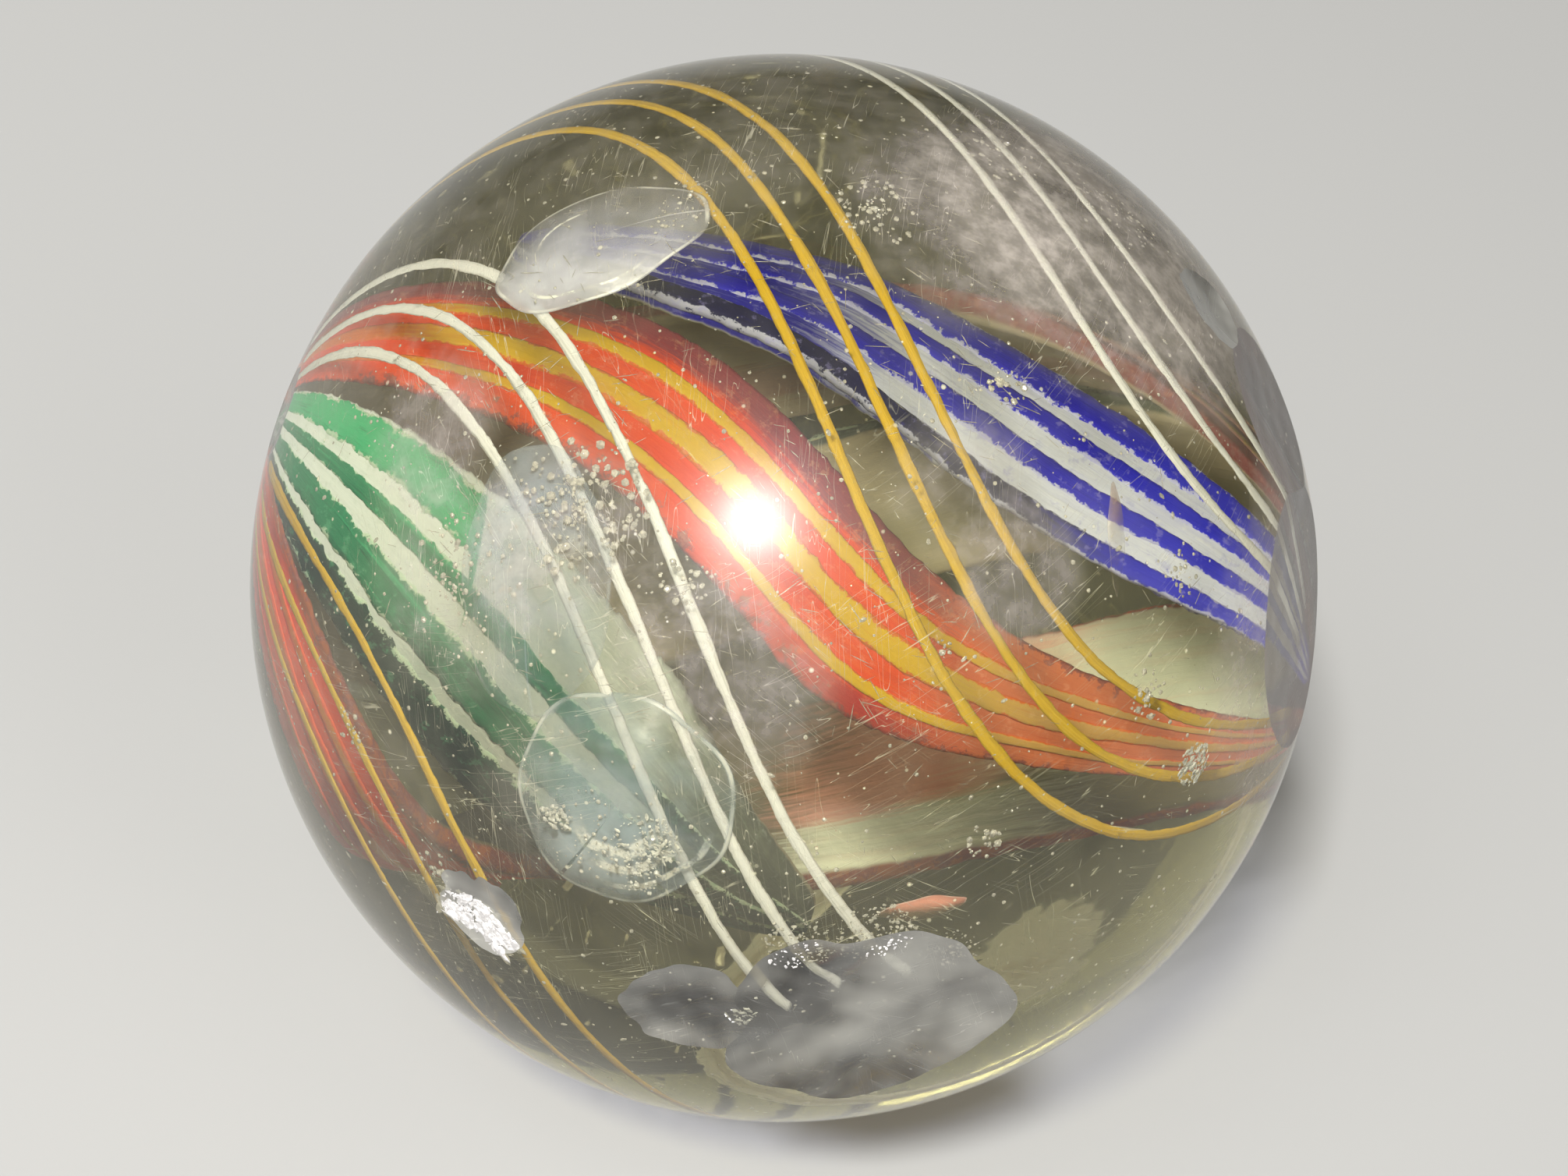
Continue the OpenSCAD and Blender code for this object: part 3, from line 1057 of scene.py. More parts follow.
# On the ribbons below, the low margins' colours are painted shade, and the high margins' colours are painted
# shade, except on green, where they are painted light.
RED = StreakedGlass(
    "red glass", colour=(0.74, 0.062, 0.008), light=(0.84, 0.16, 0.02), deep=(0.38, 0.010, 0.012),
    inside=(0.60, 0.56, 0.52), inside_band=(0.62, 0.30, 0.28),
    low_side_shade=(0.40, 0.022, 0.03), low_until=-0.66, low_from=0.0,
    high_side_light_and_shade=(0.24, 0.045, 0.07), high_from=0.60, rightward=(0.56, 0.15, 0.07), right_from=0.26,
    fray=(0.22, 0.05, 0.06), fray_from=0.90, fleck=(0.80, 0.40, 0.30), flecks=0.2)
RED_BELOW = replace(
    RED, name="lower red glass", colour=(0.95, 0.075, 0.010), light=(1.0, 0.16, 0.03),
    inside=(0.86, 0.92, 1.0), inside_band=(0.95, 0.44, 0.46), band_low=-1.2, band_high=0.38,
    band_until=0.30, inside_dim=(0.13, 0.108, 0.06), dim_until=0.08, dim_from=0.31,
    high_side_light_and_shade=(0.34, 0.09, 0.03), high_from=0.80, low_until=-2.0, right_from=2.0)
RED_FAR = replace(
    RED, name="far red glass", colour=(0.24, 0.10, 0.11), light=(0.28, 0.14, 0.14),
    deep=(0.16, 0.08, 0.08), inside=(0.44, 0.38, 0.34), inside_band=(0.40, 0.26, 0.24),
    low_until=-2.0, right_from=2.0)
YELLOW = StreakedGlass(
    "yellow glass", colour=(0.64, 0.40, 0.008), light=(0.76, 0.50, 0.02), deep=(0.62, 0.22, 0.008),
    inside=(0.82, 0.40, 0.03), inside_band=(0.7, 0.3, 0.02),
    rightward=(0.52, 0.30, 0.10), right_from=0.32, leftward=(0.62, 0.14, 0.01), left_until=-0.62,
    fray=(0.66, 0.10, 0.014), fray_from=0.72, fleck=(0.74, 0.5, 0.3), flecks=0.2, streaks=6.0)
YELLOW_BELOW = replace(
    YELLOW, name="lower yellow glass", colour=(0.90, 0.30, 0.012), fray=(0.95, 0.09, 0.010),
    fray_from=0.45)
YELLOW_FAR = replace(
    YELLOW, name="far yellow glass", colour=(0.30, 0.20, 0.09), light=(0.32, 0.24, 0.12),
    deep=(0.24, 0.15, 0.07), right_from=2.0, fray=(0.24, 0.10, 0.11))
WHITE = StreakedGlass(
    "white glass", colour=(0.66, 0.70, 1.0), light=(0.80, 0.84, 1.0), deep=(0.36, 0.38, 0.94),
    inside=(0.62, 0.60, 0.58), inside_band=(0.50, 0.48, 0.44),
    leftward=(0.012, 0.008, 0.46), left_until=0.0, fray=(0.03, 0.02, 0.5), fray_from=0.93,
    fleck=(0.30, 0.30, 0.85), flecks=0.35)
BLUE = StreakedGlass(
    "blue glass", colour=(0.010, 0.005, 0.60), light=(0.05, 0.035, 0.84), deep=(0.004, 0.003, 0.20),
    inside=(0.03, 0.02, 0.4), inside_band=(0.02, 0.02, 0.3),
    low_side_shade=(0.012, 0.012, 0.085), low_until=-0.72, high_side_light_and_shade=(0.03, 0.022, 0.42), high_from=0.78,
    rightward=(0.02, 0.02, 0.72), right_from=0.42, fray=(0.56, 0.58, 0.90), fray_from=0.80,
    fleck=(0.34, 0.32, 0.92), flecks=0.34, streaks=14.0)
CREAM = StreakedGlass(
    "cream glass", colour=(0.68, 0.76, 0.84), light=(0.80, 0.88, 1.0), deep=(0.38, 0.52, 0.52),
    inside=(0.50, 0.44, 0.38), inside_band=(0.40, 0.36, 0.28),
    rightward=(0.11, 0.125, 0.10), right_from=-0.08, fleck=(0.34, 0.44, 0.40), flecks=0.25)
GREEN = StreakedGlass(
    "green glass", colour=(0.006, 0.20, 0.10), light=(0.025, 0.48, 0.24), deep=(0.003, 0.045, 0.030),
    inside=(0.50, 0.42, 0.32), inside_band=(0.38, 0.32, 0.24),
    low_side_shade=(0.006, 0.032, 0.026), low_until=-0.45, high_side_light_and_shade=(0.008, 0.40, 0.18), high_from=0.45,
    rightward=(0.035, 0.05, 0.042), right_from=-0.14, fray=(0.60, 0.72, 0.66), fray_from=0.84,
    fleck=(0.16, 0.52, 0.36), flecks=0.3, streaks=14.0, grain=0.8, fibre=0.6)
YELLOW_THREAD = StreakedGlass(
    "yellow thread glass", colour=(0.66, 0.42, 0.020), light=(0.78, 0.54, 0.07),
    deep=(0.44, 0.25, 0.01), inside=(0.50, 0.33, 0.022), inside_band=(0.4, 0.24, 0.02),
    fleck=(0.62, 0.50, 0.24), flecks=0.25, streaks=2.0, relief=0.6)
WHITE_THREAD = StreakedGlass(
    "white thread glass", colour=(0.86, 0.87, 0.94), light=(0.94, 0.95, 1.0),
    deep=(0.58, 0.57, 0.58), inside=(0.64, 0.65, 0.70), inside_band=(0.5, 0.48, 0.46),
    fleck=(0.40, 0.38, 0.36), flecks=0.2, streaks=2.0, relief=0.6)
CORE_FINISHES = (RED, RED_BELOW, RED_FAR, YELLOW, YELLOW_BELOW, YELLOW_FAR, WHITE, BLUE, CREAM, GREEN,
                 YELLOW_THREAD, WHITE_THREAD)
FROSTS = (
    Frost(Spot(58, 62), 26, 0.50), Frost(Spot(45, 78), 16, 0.25), Frost(Spot(22, -178), 12, 0.22),
    Frost(Spot(33, -165), 13, 0.20), Frost(Spot(30, -120), 12, 0.12), Frost(Spot(66, 8), 22, 0.35),
    Frost(Spot(60, 160), 20, 0.14), Frost(Spot(8, -165), 10, 0.08), Frost(Spot(60, -140), 24, 0.12),
    Frost(Spot(60, 112), 30, 0.14), Frost(Spot(23, 19), 8, 0.28), Frost(Spot(11, -110), 13, 0.26),
    Frost(Spot(41, 172), 10, 0.28), Frost(Spot(20, 45), 9, 0.20))
SKIN = ClearGlass("clear worn glass", haze=0.09, roughness=0.01, scratch_depth=0.3, frosts=FROSTS)
CHIPPED = ClearGlass("chipped glass", haze=0.72, roughness=0.10, scratch_depth=1.0, marks=0.5, sheen=0.06,
                     haze_colour=(0.26, 0.255, 0.23), crust_roughness=0.25, patchy=0.16)
RUBBED = ClearGlass("rubbed flat glass", haze=0.5, roughness=0.05, scratch_depth=0.5, marks=0.8, sheen=0.06,
                    haze_colour=(0.17, 0.13, 0.115))
CRUSHED = CrushedGlass("crushed glass")
FOAM = CrushedGlass("glass crushed to foam", (1.0, 1.0, 1.0), roughness=0.45, clarity=0.1)
SPARK = CrushedGlass("sparkling glass", (0.9, 0.9, 0.93), roughness=0.08, clarity=0.0)
HAIR = CrushedGlass("hair of glass", (0.74, 0.70, 0.66), roughness=0.35, clarity=0.5)


# ---- the twisted core ----


@dataclass
class Strands:
    """What everything that the strand trees make has in common."""

    swirl: Swirl
    tree: bpy.types.NodeTree

    def strand(self, name: str, finish: bpy.types.Material, **values: float) -> bpy.types.Mesh:
        """Runs the strand tree.

        Args:
            name: the mesh's name.
            finish: its finish.
            values: the tree's inputs by name, with _ for a space.

        Returns:
            The strand's mesh.
        """
        given = {label.replace("_", " "): value for label, value in values.items()}
        return grown(name, self.tree, {"Taper": self.swirl.taper, "Material": finish, **given})


@dataclass
class StripedRibbon(Strands):
    """One ribbon of the core and the stripes laid along it.

    A stripe is given by its middle and half width, both in half widths of the ribbon, and by
    the share of the run where it ends, if that comes before the ribbon's own end. least_half
    keeps its stripes wide, in degrees, where the ribbon narrows. start and end are where it ends,
    as shares of the run, and it thins out over the tips.
    """

    name: str
    stripes_name: str
    low: Edge
    high: Edge
    stripes: tuple[tuple[float, ...], ...]
    twist: float
    start: float = 0.985
    end: float = 0.985
    start_tip: float = 0.02
    end_tip: float = 0.02
    least_half: float = 0.5
    inner_reach: float = 0.39
    thickness: float = 0.36 / 9.5
    stripe_thickness: float = 0.14 / 9.5
    bulge: float = 0.0
    lift: float = 0.0
    seed: float = 0.0

    def build(self, ground: bpy.types.Material, stripe: bpy.types.Material,
              slots: tuple[str, str]) -> None:
        """Makes the ribbon and its stripes.

        Args:
            ground: finish of the ribbon.
            stripe: finish of its stripes.
            slots: the record's slots of the two.
        """
        common = {"Twist": self.twist, "Left_Run": self.start, "Right_Run": self.end,
                  "Left_Tip": self.start_tip, "Right_Tip": self.end_tip,
                  "Bulge": self.bulge, "Lift": self.lift}
        for name, edge in (("Low", self.low), ("High", self.high)):
            common |= {f"{name}_Middle": edge.middle, f"{name}_Left": edge.to_left,
                       f"{name}_Right": edge.to_right}
        ribbon = self.strand(self.name, ground, Place=0.0, Half_Share=1.0, Least_Half=0.5, Flatness=5.0,
                             Reach=self.inner_reach + self.thickness / 2, Thickness=self.thickness,
                             Section_Points=48, Rings=300, Wander=0.0, Ragged=0.20, Swell=0.06,
                             Seed=self.seed, **common)
        placed(self.name, ribbon, slots[0], (self.name,))
        top = self.inner_reach + self.thickness
        lines = [self.strand(f"{self.name}_line_{i}", stripe, Place=line[0], Half_Share=line[1],
                             Least_Half=self.least_half, Reach=top - self.stripe_thickness * 0.36,
                             Thickness=self.stripe_thickness * 1.4, Flatness=2.2, Section_Points=20,
                             Rings=260, Wander=2.4, Ragged=1.0, Swell=0.6, Seed=self.seed + 3.7 * (i + 1),
                             **{**common, **({"Right_Run": line[2], "Right_Tip": 0.02} if line[2:] else {})})
                 for i, line in enumerate(self.stripes)]
        placed(self.stripes_name, joined(self.stripes_name, lines), slots[1], (self.stripes_name,))


@dataclass
class ThreadBand(Strands):
    """A band of three threads just under the skin, the lowest first.

    at is the middle thread's angle, gap is from thread to thread, and reach is how far from the
    axis they lie, as a share of the radius. start and ends are where they end along the run.
    """

    name: str
    at: float
    gap: float = 9.3
    reach: float = 0.93
    width: float = 0.19 * MM
    start: float = 0.965
    ends: tuple[float, float, float] = (0.965, 0.965, 0.965)
    seed: float = 0.0

    def build(self, finish: bpy.types.Material, slot: str) -> None:
        """Makes the band as one piece.

        Args:
            finish: finish of its threads.
            slot: the record's slot.
        """
        threads = [self.strand(f"{self.name}_line_{i}", finish, Start_Angle=self.at + (i - 1) * self.gap,
                               Twist=self.swirl.skin_twist, Reach=self.reach, Left_Run=self.start,
                               Right_Run=end, Half_Width=self.width / 2, Flatness=1.0,
                               Thickness=self.width * 0.8 / self.swirl.radius, Section_Points=12,
                               Rings=300, Wander=1.6, Ragged=1.3, Swell=0.9, Seed=self.seed + 2.3 * i)
                   for i, end in enumerate(self.ends)]
        placed(self.name, joined(self.name, threads), slot, (self.name,))


@dataclass(frozen=True)
class Grains:
    """Grains or hairs of broken glass round a place. Lengths are in millimetres.

    They lie within spread degrees, closer to the middle as gathered rises. depth is how far under
    the skin they are on average; below zero they stand proud of a flake's surface. stretch and
    flat shape them, and spin and spin_range turn them on the skin, in degrees.
    """

    name: str
    spot: Spot
    spread: float
    count: int
    size: float
    size_range: float = 2.5
    depth: float = 0.05
    gathered: float = 1.6
    stretch: float = 1.0
    flat: float = 0.7
    spin: float = 0.0
    spin_range: float = 180.0
    seed: int = 1

    def build(self, swirl: Swirl, tree: bpy.types.NodeTree, finish: bpy.types.Material) -> bpy.types.Mesh:
        """Scatters them.

        Args:
            swirl: the rule of the ball.
            tree: the tree that scatters.
            finish: their finish.

        Returns:
            Their mesh.
        """
        turned = Matrix(self.spot.turned(swirl).tolist()).to_euler()
        return grown(self.name, tree, {
            "Count": self.count, "Spread": self.spread, "Gathered": self.gathered, "Depth": self.depth * MM,
            "Size": self.size * MM, "Size Range": self.size_range, "Stretch": self.stretch, "Flat": self.flat,
            "Spin": self.spin, "Spin Range": self.spin_range, "Seed": self.seed, "Turned": turned,
            "Material": finish})


# ---- the clear ball and its wear ----


def polar_cap(rings: int, turns: int) -> tuple[np.ndarray, np.ndarray]:
    """Shares of the radius and angles of a round grid, one middle point first.

    Args:
        rings: circles of points round the middle.
        turns: points on each circle.

    Returns:
        The share of the radius and the angle in radians of each point.
    """
    share = np.repeat(np.arange(1, rings + 1) / rings, turns)
    angle = np.tile(np.arange(turns) * math.tau / turns, rings)
    return np.concatenate([[0.0], share]), np.concatenate([[0.0], angle])


def cap_faces(rings: int, turns: int, first: int, flip: bool) -> list[tuple[int, ...]]:
    """Faces of a round grid.

    Args:
        rings: circles of points round the middle.
        turns: points on each circle.
        first: index of its middle point.
        flip: whether the faces look the other way.

    Returns:
        The faces.
    """
    faces: list[tuple[int, ...]] = []
    for j in range(turns):
        k = (j + 1) % turns
        faces.append((first, first + 1 + j, first + 1 + k))
        for i in range(rings - 1):
            a, b = first + 1 + i * turns, first + 1 + (i + 1) * turns
            faces.append((a + j, b + j, b + k, a + k))
    return [f[::-1] for f in faces] if flip else faces


def rim_faces(turns: int, low: int, high: int) -> list[tuple[int, ...]]:
    """Faces that join two circles of points, low one first."""
    return [(low + j, low + (j + 1) % turns, high + (j + 1) % turns, high + j) for j in range(turns)]


@dataclass(frozen=True)
class WornPlace:
    """A place where the skin is gone: a shell-shaped hollow or a rubbed flat.

    half_angle is the half width of the place seen from the ball's middle, hollow is the radius
    of its own surface, and ripple is the height of the waves on it.
    """

    name: str
    spot: Spot
    half_angle: float
    cut: Cut
    hollow: float = 0.0
    ripple: float = 0.0
    waves: float = 6.0
    seed: float = 0.0

    def tool(self, swirl: Swirl) -> bpy.types.Mesh:
        """Makes the closed shape that takes the place off the ball.

        Args:
            swirl: the rule of the ball.

        Returns:
            Its mesh.
        """
        rings, turns, radius = 48, 128, swirl.radius
        half = math.radians(self.half_angle)
        rim = radius * math.sin(half)
        share, angle = polar_cap(rings, turns)
        out = share * rim * 1.5
        if self.cut is Cut.HOLLOW:
            middle = radius * math.cos(half) + math.sqrt(self.hollow ** 2 - rim ** 2)
            low = middle - np.sqrt(self.hollow ** 2 - out ** 2)
        else:
            low = np.full_like(out, radius * math.cos(half))
        x, y = out * np.cos(angle), out * np.sin(angle)
        bend = 1.3 * np.sin(y / rim * 3.0 + self.seed)
        wave = np.sin((x * 0.8 + y * 0.5) / rim * self.waves + self.seed + bend)
        rough = np.sin(x / rim * 11.0 + self.seed * 2) * np.sin(y / rim * 9.0 - self.seed) * 0.45
        lobes = 0.8 * np.sin(angle * 3 + self.seed) * share + 0.5 * np.sin(angle * 5 - self.seed * 2) * share
        low = low + self.ripple * (wave + rough + lobes)
        bottom = np.stack([x, y, low], 1)
        top = np.stack([x, y, np.full_like(x, radius * 1.25)], 1)
        count = len(x)
        axes = self.spot.turned(swirl)
        points = np.concatenate([bottom, top]) @ axes.T
        faces = cap_faces(rings, turns, 0, True) + cap_faces(rings, turns, count, False)
        faces += rim_faces(turns, 1 + (rings - 1) * turns, count + 1 + (rings - 1) * turns)
        mesh = bpy.data.meshes.new(self.name)
        mesh.from_pydata(points.tolist(), [], faces)
        mesh.validate()
        return mesh


WORN = (
    WornPlace("big_flake", Spot(51, -64), 14.5, Cut.HOLLOW, 24 * MM, 0.045 * MM, 7.0, 0.4),
    WornPlace("flake_beside_it", Spot(48, -87.5), 6.5, Cut.HOLLOW, 6 * MM, 0.024 * MM, 5.0, 1.7),
    WornPlace("left_flake", Spot(50, -117.5), 5, Cut.HOLLOW, 5 * MM, 0.020 * MM, 5.0, 2.9),
    WornPlace("upper_flake", Spot(66, 48.5), 5, Cut.HOLLOW, 5 * MM, 0.012 * MM, 4.0, 4.1),
    WornPlace("pole_nick", Spot(77, 176), 5, Cut.HOLLOW, 6 * MM, 0.01 * MM, 4.0, 5.3),
    WornPlace("right_flat", Spot(71.4, 12.3), 13.9, Cut.FLAT, 0.0, 0.006 * MM, 2.0, 0.9),
    WornPlace("upper_flat", Spot(70, 35), 9.5, Cut.FLAT, 0.0, 0.006 * MM, 2.0, 3.3),
)


@dataclass
class ClearBall:
    """The ball of clear glass, with its flakes and rubbed flats cut into it.

    fineness is how often the ball is divided, and edges over sharp_from degrees stay sharp.
    """

    swirl: Swirl
    worn: tuple[WornPlace, ...] = WORN
    fineness: int = 7
    sharp_from: float = 9.0

    def build(self) -> None:
        """Makes the ball, cuts its wear, and dresses each kind of surface."""
        mesh = bpy.data.meshes.new("clear_glass_ball")
        bm = bmesh.new()
        bmesh.ops.create_icosphere(bm, subdivisions=self.fineness, radius=self.swirl.radius)
        bm.to_mesh(mesh)
        bm.free()
        finishes = {key: finish.material(self.swirl) for key, finish in
                    ((None, SKIN), (Cut.HOLLOW, CHIPPED), (Cut.FLAT, RUBBED))}
        mesh.materials.append(finishes[None])
        ball = bpy.data.objects.new("ball_maker", mesh)
        bpy.context.scene.collection.objects.link(ball)
        tools: list[bpy.types.Object] = []
        for place in self.worn:
            shape = place.tool(self.swirl)
            shape.materials.append(finishes[place.cut])
            tool = bpy.data.objects.new(place.name, shape)
            bpy.context.scene.collection.objects.link(tool)
            tools.append(tool)
            cut = ball.modifiers.new(place.name, "BOOLEAN")
            cut.operation, cut.object, cut.solver = "DIFFERENCE", tool, "EXACT"
            cut.material_mode = "TRANSFER"
            log.info("worn place %s", place.name)
        bpy.context.view_layer.update()
        shown = ball.evaluated_get(bpy.context.evaluated_depsgraph_get())
        worn = bpy.data.meshes.new_from_object(shown)
        worn.name = "clear_glass_ball"
        for o in (ball, *tools):
            bpy.data.objects.remove(o)
        for polygon in worn.polygons:
            polygon.use_smooth = True
        worn.set_sharp_from_angle(angle=math.radians(self.sharp_from))
        placed("clear_glass_ball", worn, "clear_glass", ("clear_glass_ball",))


@dataclass(frozen=True)
class Moon:
    """A moon-shaped crack: a shallow dish of parted glass under the skin.

    It lies depth under the skin at its middle and dips by dish more at its rim. pointed draws its
    two ends to points, and gap is how far the glass has parted.
    """

    name: str
    spot: Spot
    long_half: float
    short_half: float
    depth: float
    dish: float
    finish: MoonGlass
    pointed: float = 0.0
    gap: float = 0.015 * MM

    def build(self, swirl: Swirl) -> None:
        """Makes the crack as a thin closed dish that follows the skin.

        Args:
            swirl: the rule of the ball.
        """
        rings, turns = 40, 96
        share, angle = polar_cap(rings, turns)
        narrowed = 1 - self.pointed * np.cos(angle) ** 2
        x, y = share * self.long_half * np.cos(angle), share * self.short_half * np.sin(angle) * narrowed
        uneven = 1 + 0.03 * np.sin(angle * 3 + self.spot.around) + 0.02 * np.sin(angle * 7 + self.spot.away)
        x, y = x * uneven, y * uneven
        axes = self.spot.turned(swirl)
        way = np.stack([x / swirl.radius, y / swirl.radius, np.ones_like(x)], 1)
        way = way / np.linalg.norm(way, axis=1)[:, None]
        depth = self.depth + self.dish * share ** 2 + 0.02 * MM * np.sin(x / self.long_half * 7) * share
        top = way * (swirl.radius - depth)[:, None]
        low = way * (swirl.radius - depth - self.gap)[:, None]
        count = len(x)
        points = np.concatenate([top, low]) @ axes.T
        faces = cap_faces(rings, turns, 0, False) + cap_faces(rings, turns, count, True)
        faces += rim_faces(turns, count + 1 + (rings - 1) * turns, 1 + (rings - 1) * turns)
        mesh = bpy.data.meshes.new(self.name)
        mesh.from_pydata(points.tolist(), [], faces)
        lay = mesh.attributes.new("lay", "FLOAT_VECTOR", "POINT")
        both = np.concatenate([np.stack([share, angle / math.tau, np.ones_like(share)], 1),
                               np.stack([share, angle / math.tau, np.zeros_like(share)], 1)])
        lay.data.foreach_set("vector", both.astype(np.float32).ravel())
        for polygon in mesh.polygons:
            polygon.use_smooth = True
        mesh.materials.append(self.finish.material())
        placed(self.name, mesh, "clear_glass")


# ---- stage ----


@dataclass(frozen=True)
class Lamp:
    """A round soft light that faces the ball.

    right and up are its angles from the camera, away its distance from the ball, size its
    diameter and power its watts. mirrored says whether the glass shows its disc.
    """

    name: str
    right: float
    up: float
    away: float
    size: float
    power: float
    colour: Colour
    mirrored: bool = False

    def build(self, axes: Matrix) -> None:
        """Adds the light.

        Args:
            axes: the camera's right, up and back directions as columns.
        """
        lamp = bpy.data.lights.new(self.name, "AREA")
        lamp.shape, lamp.size, lamp.energy, lamp.color = "DISK", self.size, self.power, self.colour
        holder = bpy.data.objects.new(self.name, lamp)
        way = Vector((math.tan(math.radians(self.right)), math.tan(math.radians(self.up)), 1.0))
        direction = axes @ way.normalized()
        holder.location = direction * self.away
        holder.rotation_mode = "QUATERNION"
        holder.rotation_quaternion = direction.to_track_quat("Z", "Y")
        holder.visible_glossy = self.mirrored
        bpy.context.scene.collection.objects.link(holder)


@dataclass
class Studio:
    """The plain pale floor, the soft lights and the camera.

    camera_distance is in radii of the ball. lens and sensor are in millimetres.
    """

    swirl: Swirl
    camera_distance: float = 7.0
    camera_roll: float = 15.3
    lens: float = 85.0
    sensor: float = 36.0
    floor_half: float = 3.0
    floor_colour: Colour = (0.285, 0.283, 0.274)
    room_colour: Colour = (0.93, 0.95, 1.0)
    room_strength: float = 0.07
    lamps: tuple[Lamp, ...] = (
        Lamp("key", -6.0, 13.4, 0.30, 0.036, 2.0, (1.0, 0.985, 0.96), mirrored=True),
        Lamp("wide_fill", -12.0, 16.0, 0.60, 0.40, 2.8, (0.96, 0.98, 1.0)),
        Lamp("side_fill", 40.0, 5.0, 0.60, 0.40, 1.0, (1.0, 0.98, 0.95)),
    )

    def axes(self) -> Matrix:
        """The camera's right, up and back directions as columns."""
        tilt = Matrix.Rotation(math.radians(90 - self.swirl.start_line), 3, "X")
        return tilt @ Matrix.Rotation(math.radians(self.camera_roll), 3, "Z")

    def build_floor(self) -> None:
        """Makes the floor, with the ball resting on it."""
        h, low = self.floor_half, -self.swirl.radius
        mesh = bpy.data.meshes.new("floor")
        mesh.from_pydata([(-h, -h, low), (h, -h, low), (h, h, low), (-h, h, low)], [], [(0, 1, 2, 3)])
        t = ShaderTree("pale floor")
        mesh.materials.append(t.done(t.add("ShaderNodeBsdfPrincipled", Base_Color=(*self.floor_colour, 1.0),
                                           Roughness=0.85, Specular_IOR_Level=0.2)))
        floor = bpy.data.objects.new("floor", mesh)
        bpy.context.scene.collection.objects.link(floor)

    def build_camera(self) -> None:
        """Makes the camera and gives it to the scene."""
        lens = bpy.data.cameras.new("camera")
        lens.lens, lens.sensor_width = self.lens, self.sensor
        lens.clip_start, lens.clip_end = 0.001, 20.0
        camera = bpy.data.objects.new("camera", lens)
        axes = self.axes()
        camera.rotation_mode = "QUATERNION"
        camera.rotation_quaternion = axes.to_quaternion()
        camera.location = axes @ Vector((0.0, 0.0, self.swirl.radius * self.camera_distance))
        bpy.context.scene.collection.objects.link(camera)
        bpy.context.scene.camera = camera

    def build(self) -> None:
        """Makes floor, world, lights and camera."""
        self.build_floor()
        world = bpy.data.worlds.new("soft room")
        bpy.context.scene.world = world
        world.use_nodes = True
        back = world.node_tree.nodes["Background"]
        back.inputs["Color"].default_value = (*self.room_colour, 1.0)
        back.inputs["Strength"].default_value = self.room_strength
        for lamp in self.lamps:
            lamp.build(self.axes())
        self.build_camera()
        bpy.context.scene.view_settings.view_transform = "Standard"


def build_core(swirl: Swirl) -> None:
    """Makes the ribbons and the threads, from the axis outwards.

    Args:
        swirl: the rule that they follow.
    """
    made = {finish.name: finish.material() for finish in CORE_FINISHES}
    tree = strand_tree(swirl, Kind.RIBBON)
    yellow_stripes = ((-0.56, 0.08), (-0.06, 0.17), (0.40, 0.10))
    red_ribbons = ((Edge(-12, 36, 13), Edge(28, 30, 36), RED, YELLOW, 0.0, 0.0),
                   (Edge(118, 60, 60), Edge(148, 60, 60), RED_FAR, YELLOW_FAR, 0.0, 0.0),
                   (Edge(-157, 250, 80), Edge(-117, 250, 80), RED_BELOW, YELLOW_BELOW, 0.16, 15.0))
    for i, (low, high, ground, stripe, bulge, lift) in enumerate(red_ribbons, 1):
        StripedRibbon(swirl, tree, f"red_ribbon_{i}", f"yellow_stripes_{i}", low, high, yellow_stripes,
                      swirl.core_twist, bulge=bulge, lift=lift, seed=float(i)).build(
            made[ground.name], made[stripe.name], ("red_glass", "yellow_glass"))
    StripedRibbon(swirl, tree, "blue_white_ribbon", "blue_stripes_1", Edge(44, 14, 28), Edge(83, 1, 31),
                  ((-0.9, 0.08), (-0.36, 0.15), (0.18, 0.13), (0.72, 0.24)), swirl.blue_twist,
                  start=0.50, start_tip=0.25, least_half=2.6, seed=11.0).build(
        made[WHITE.name], made[BLUE.name], ("white_glass", "blue_glass"))
    green_stripes = ((-0.74, 0.24), (-0.21, 0.21), (0.28, 0.10), (0.74, 0.22, -0.44))
    green_ribbons = ((Edge(-103, 150, 60), Edge(-34, 62, 16), 0.15, 0.25),
                     (Edge(155, 60, 60), Edge(187, 60, 60), 0.985, 0.02))
    for i, (low, high, end, tip) in enumerate(green_ribbons, 1):
        StripedRibbon(swirl, tree, f"green_white_ribbon_{i}", f"green_stripes_{i}", low, high, green_stripes,
                      swirl.core_twist, end=end, end_tip=tip, seed=20.0 + i).build(
            made[CREAM.name], made[GREEN.name], ("cream_glass", "green_glass"))

    tree = strand_tree(swirl, Kind.THREAD)
    for i, (at, gap) in enumerate(((26.0, 9.3), (130.0, 9.3), (-83.8, 12.7)), 1):
        ThreadBand(swirl, tree, f"yellow_threads_{i}", at, gap, seed=30.0 + i).build(
            made[YELLOW_THREAD.name], "yellow_thread_glass")
    whole = (0.965, 0.965, 0.965)
    for i, (at, ends) in enumerate(((-24.5, (0.19, 0.27, 0.38)), (75.5, whole), (-147.0, whole)), 1):
        ThreadBand(swirl, tree, f"white_threads_{i}", at, ends=ends, seed=40.0 + i).build(
            made[WHITE_THREAD.name], "white_thread_glass")


FRONT = Spot(0, 0)
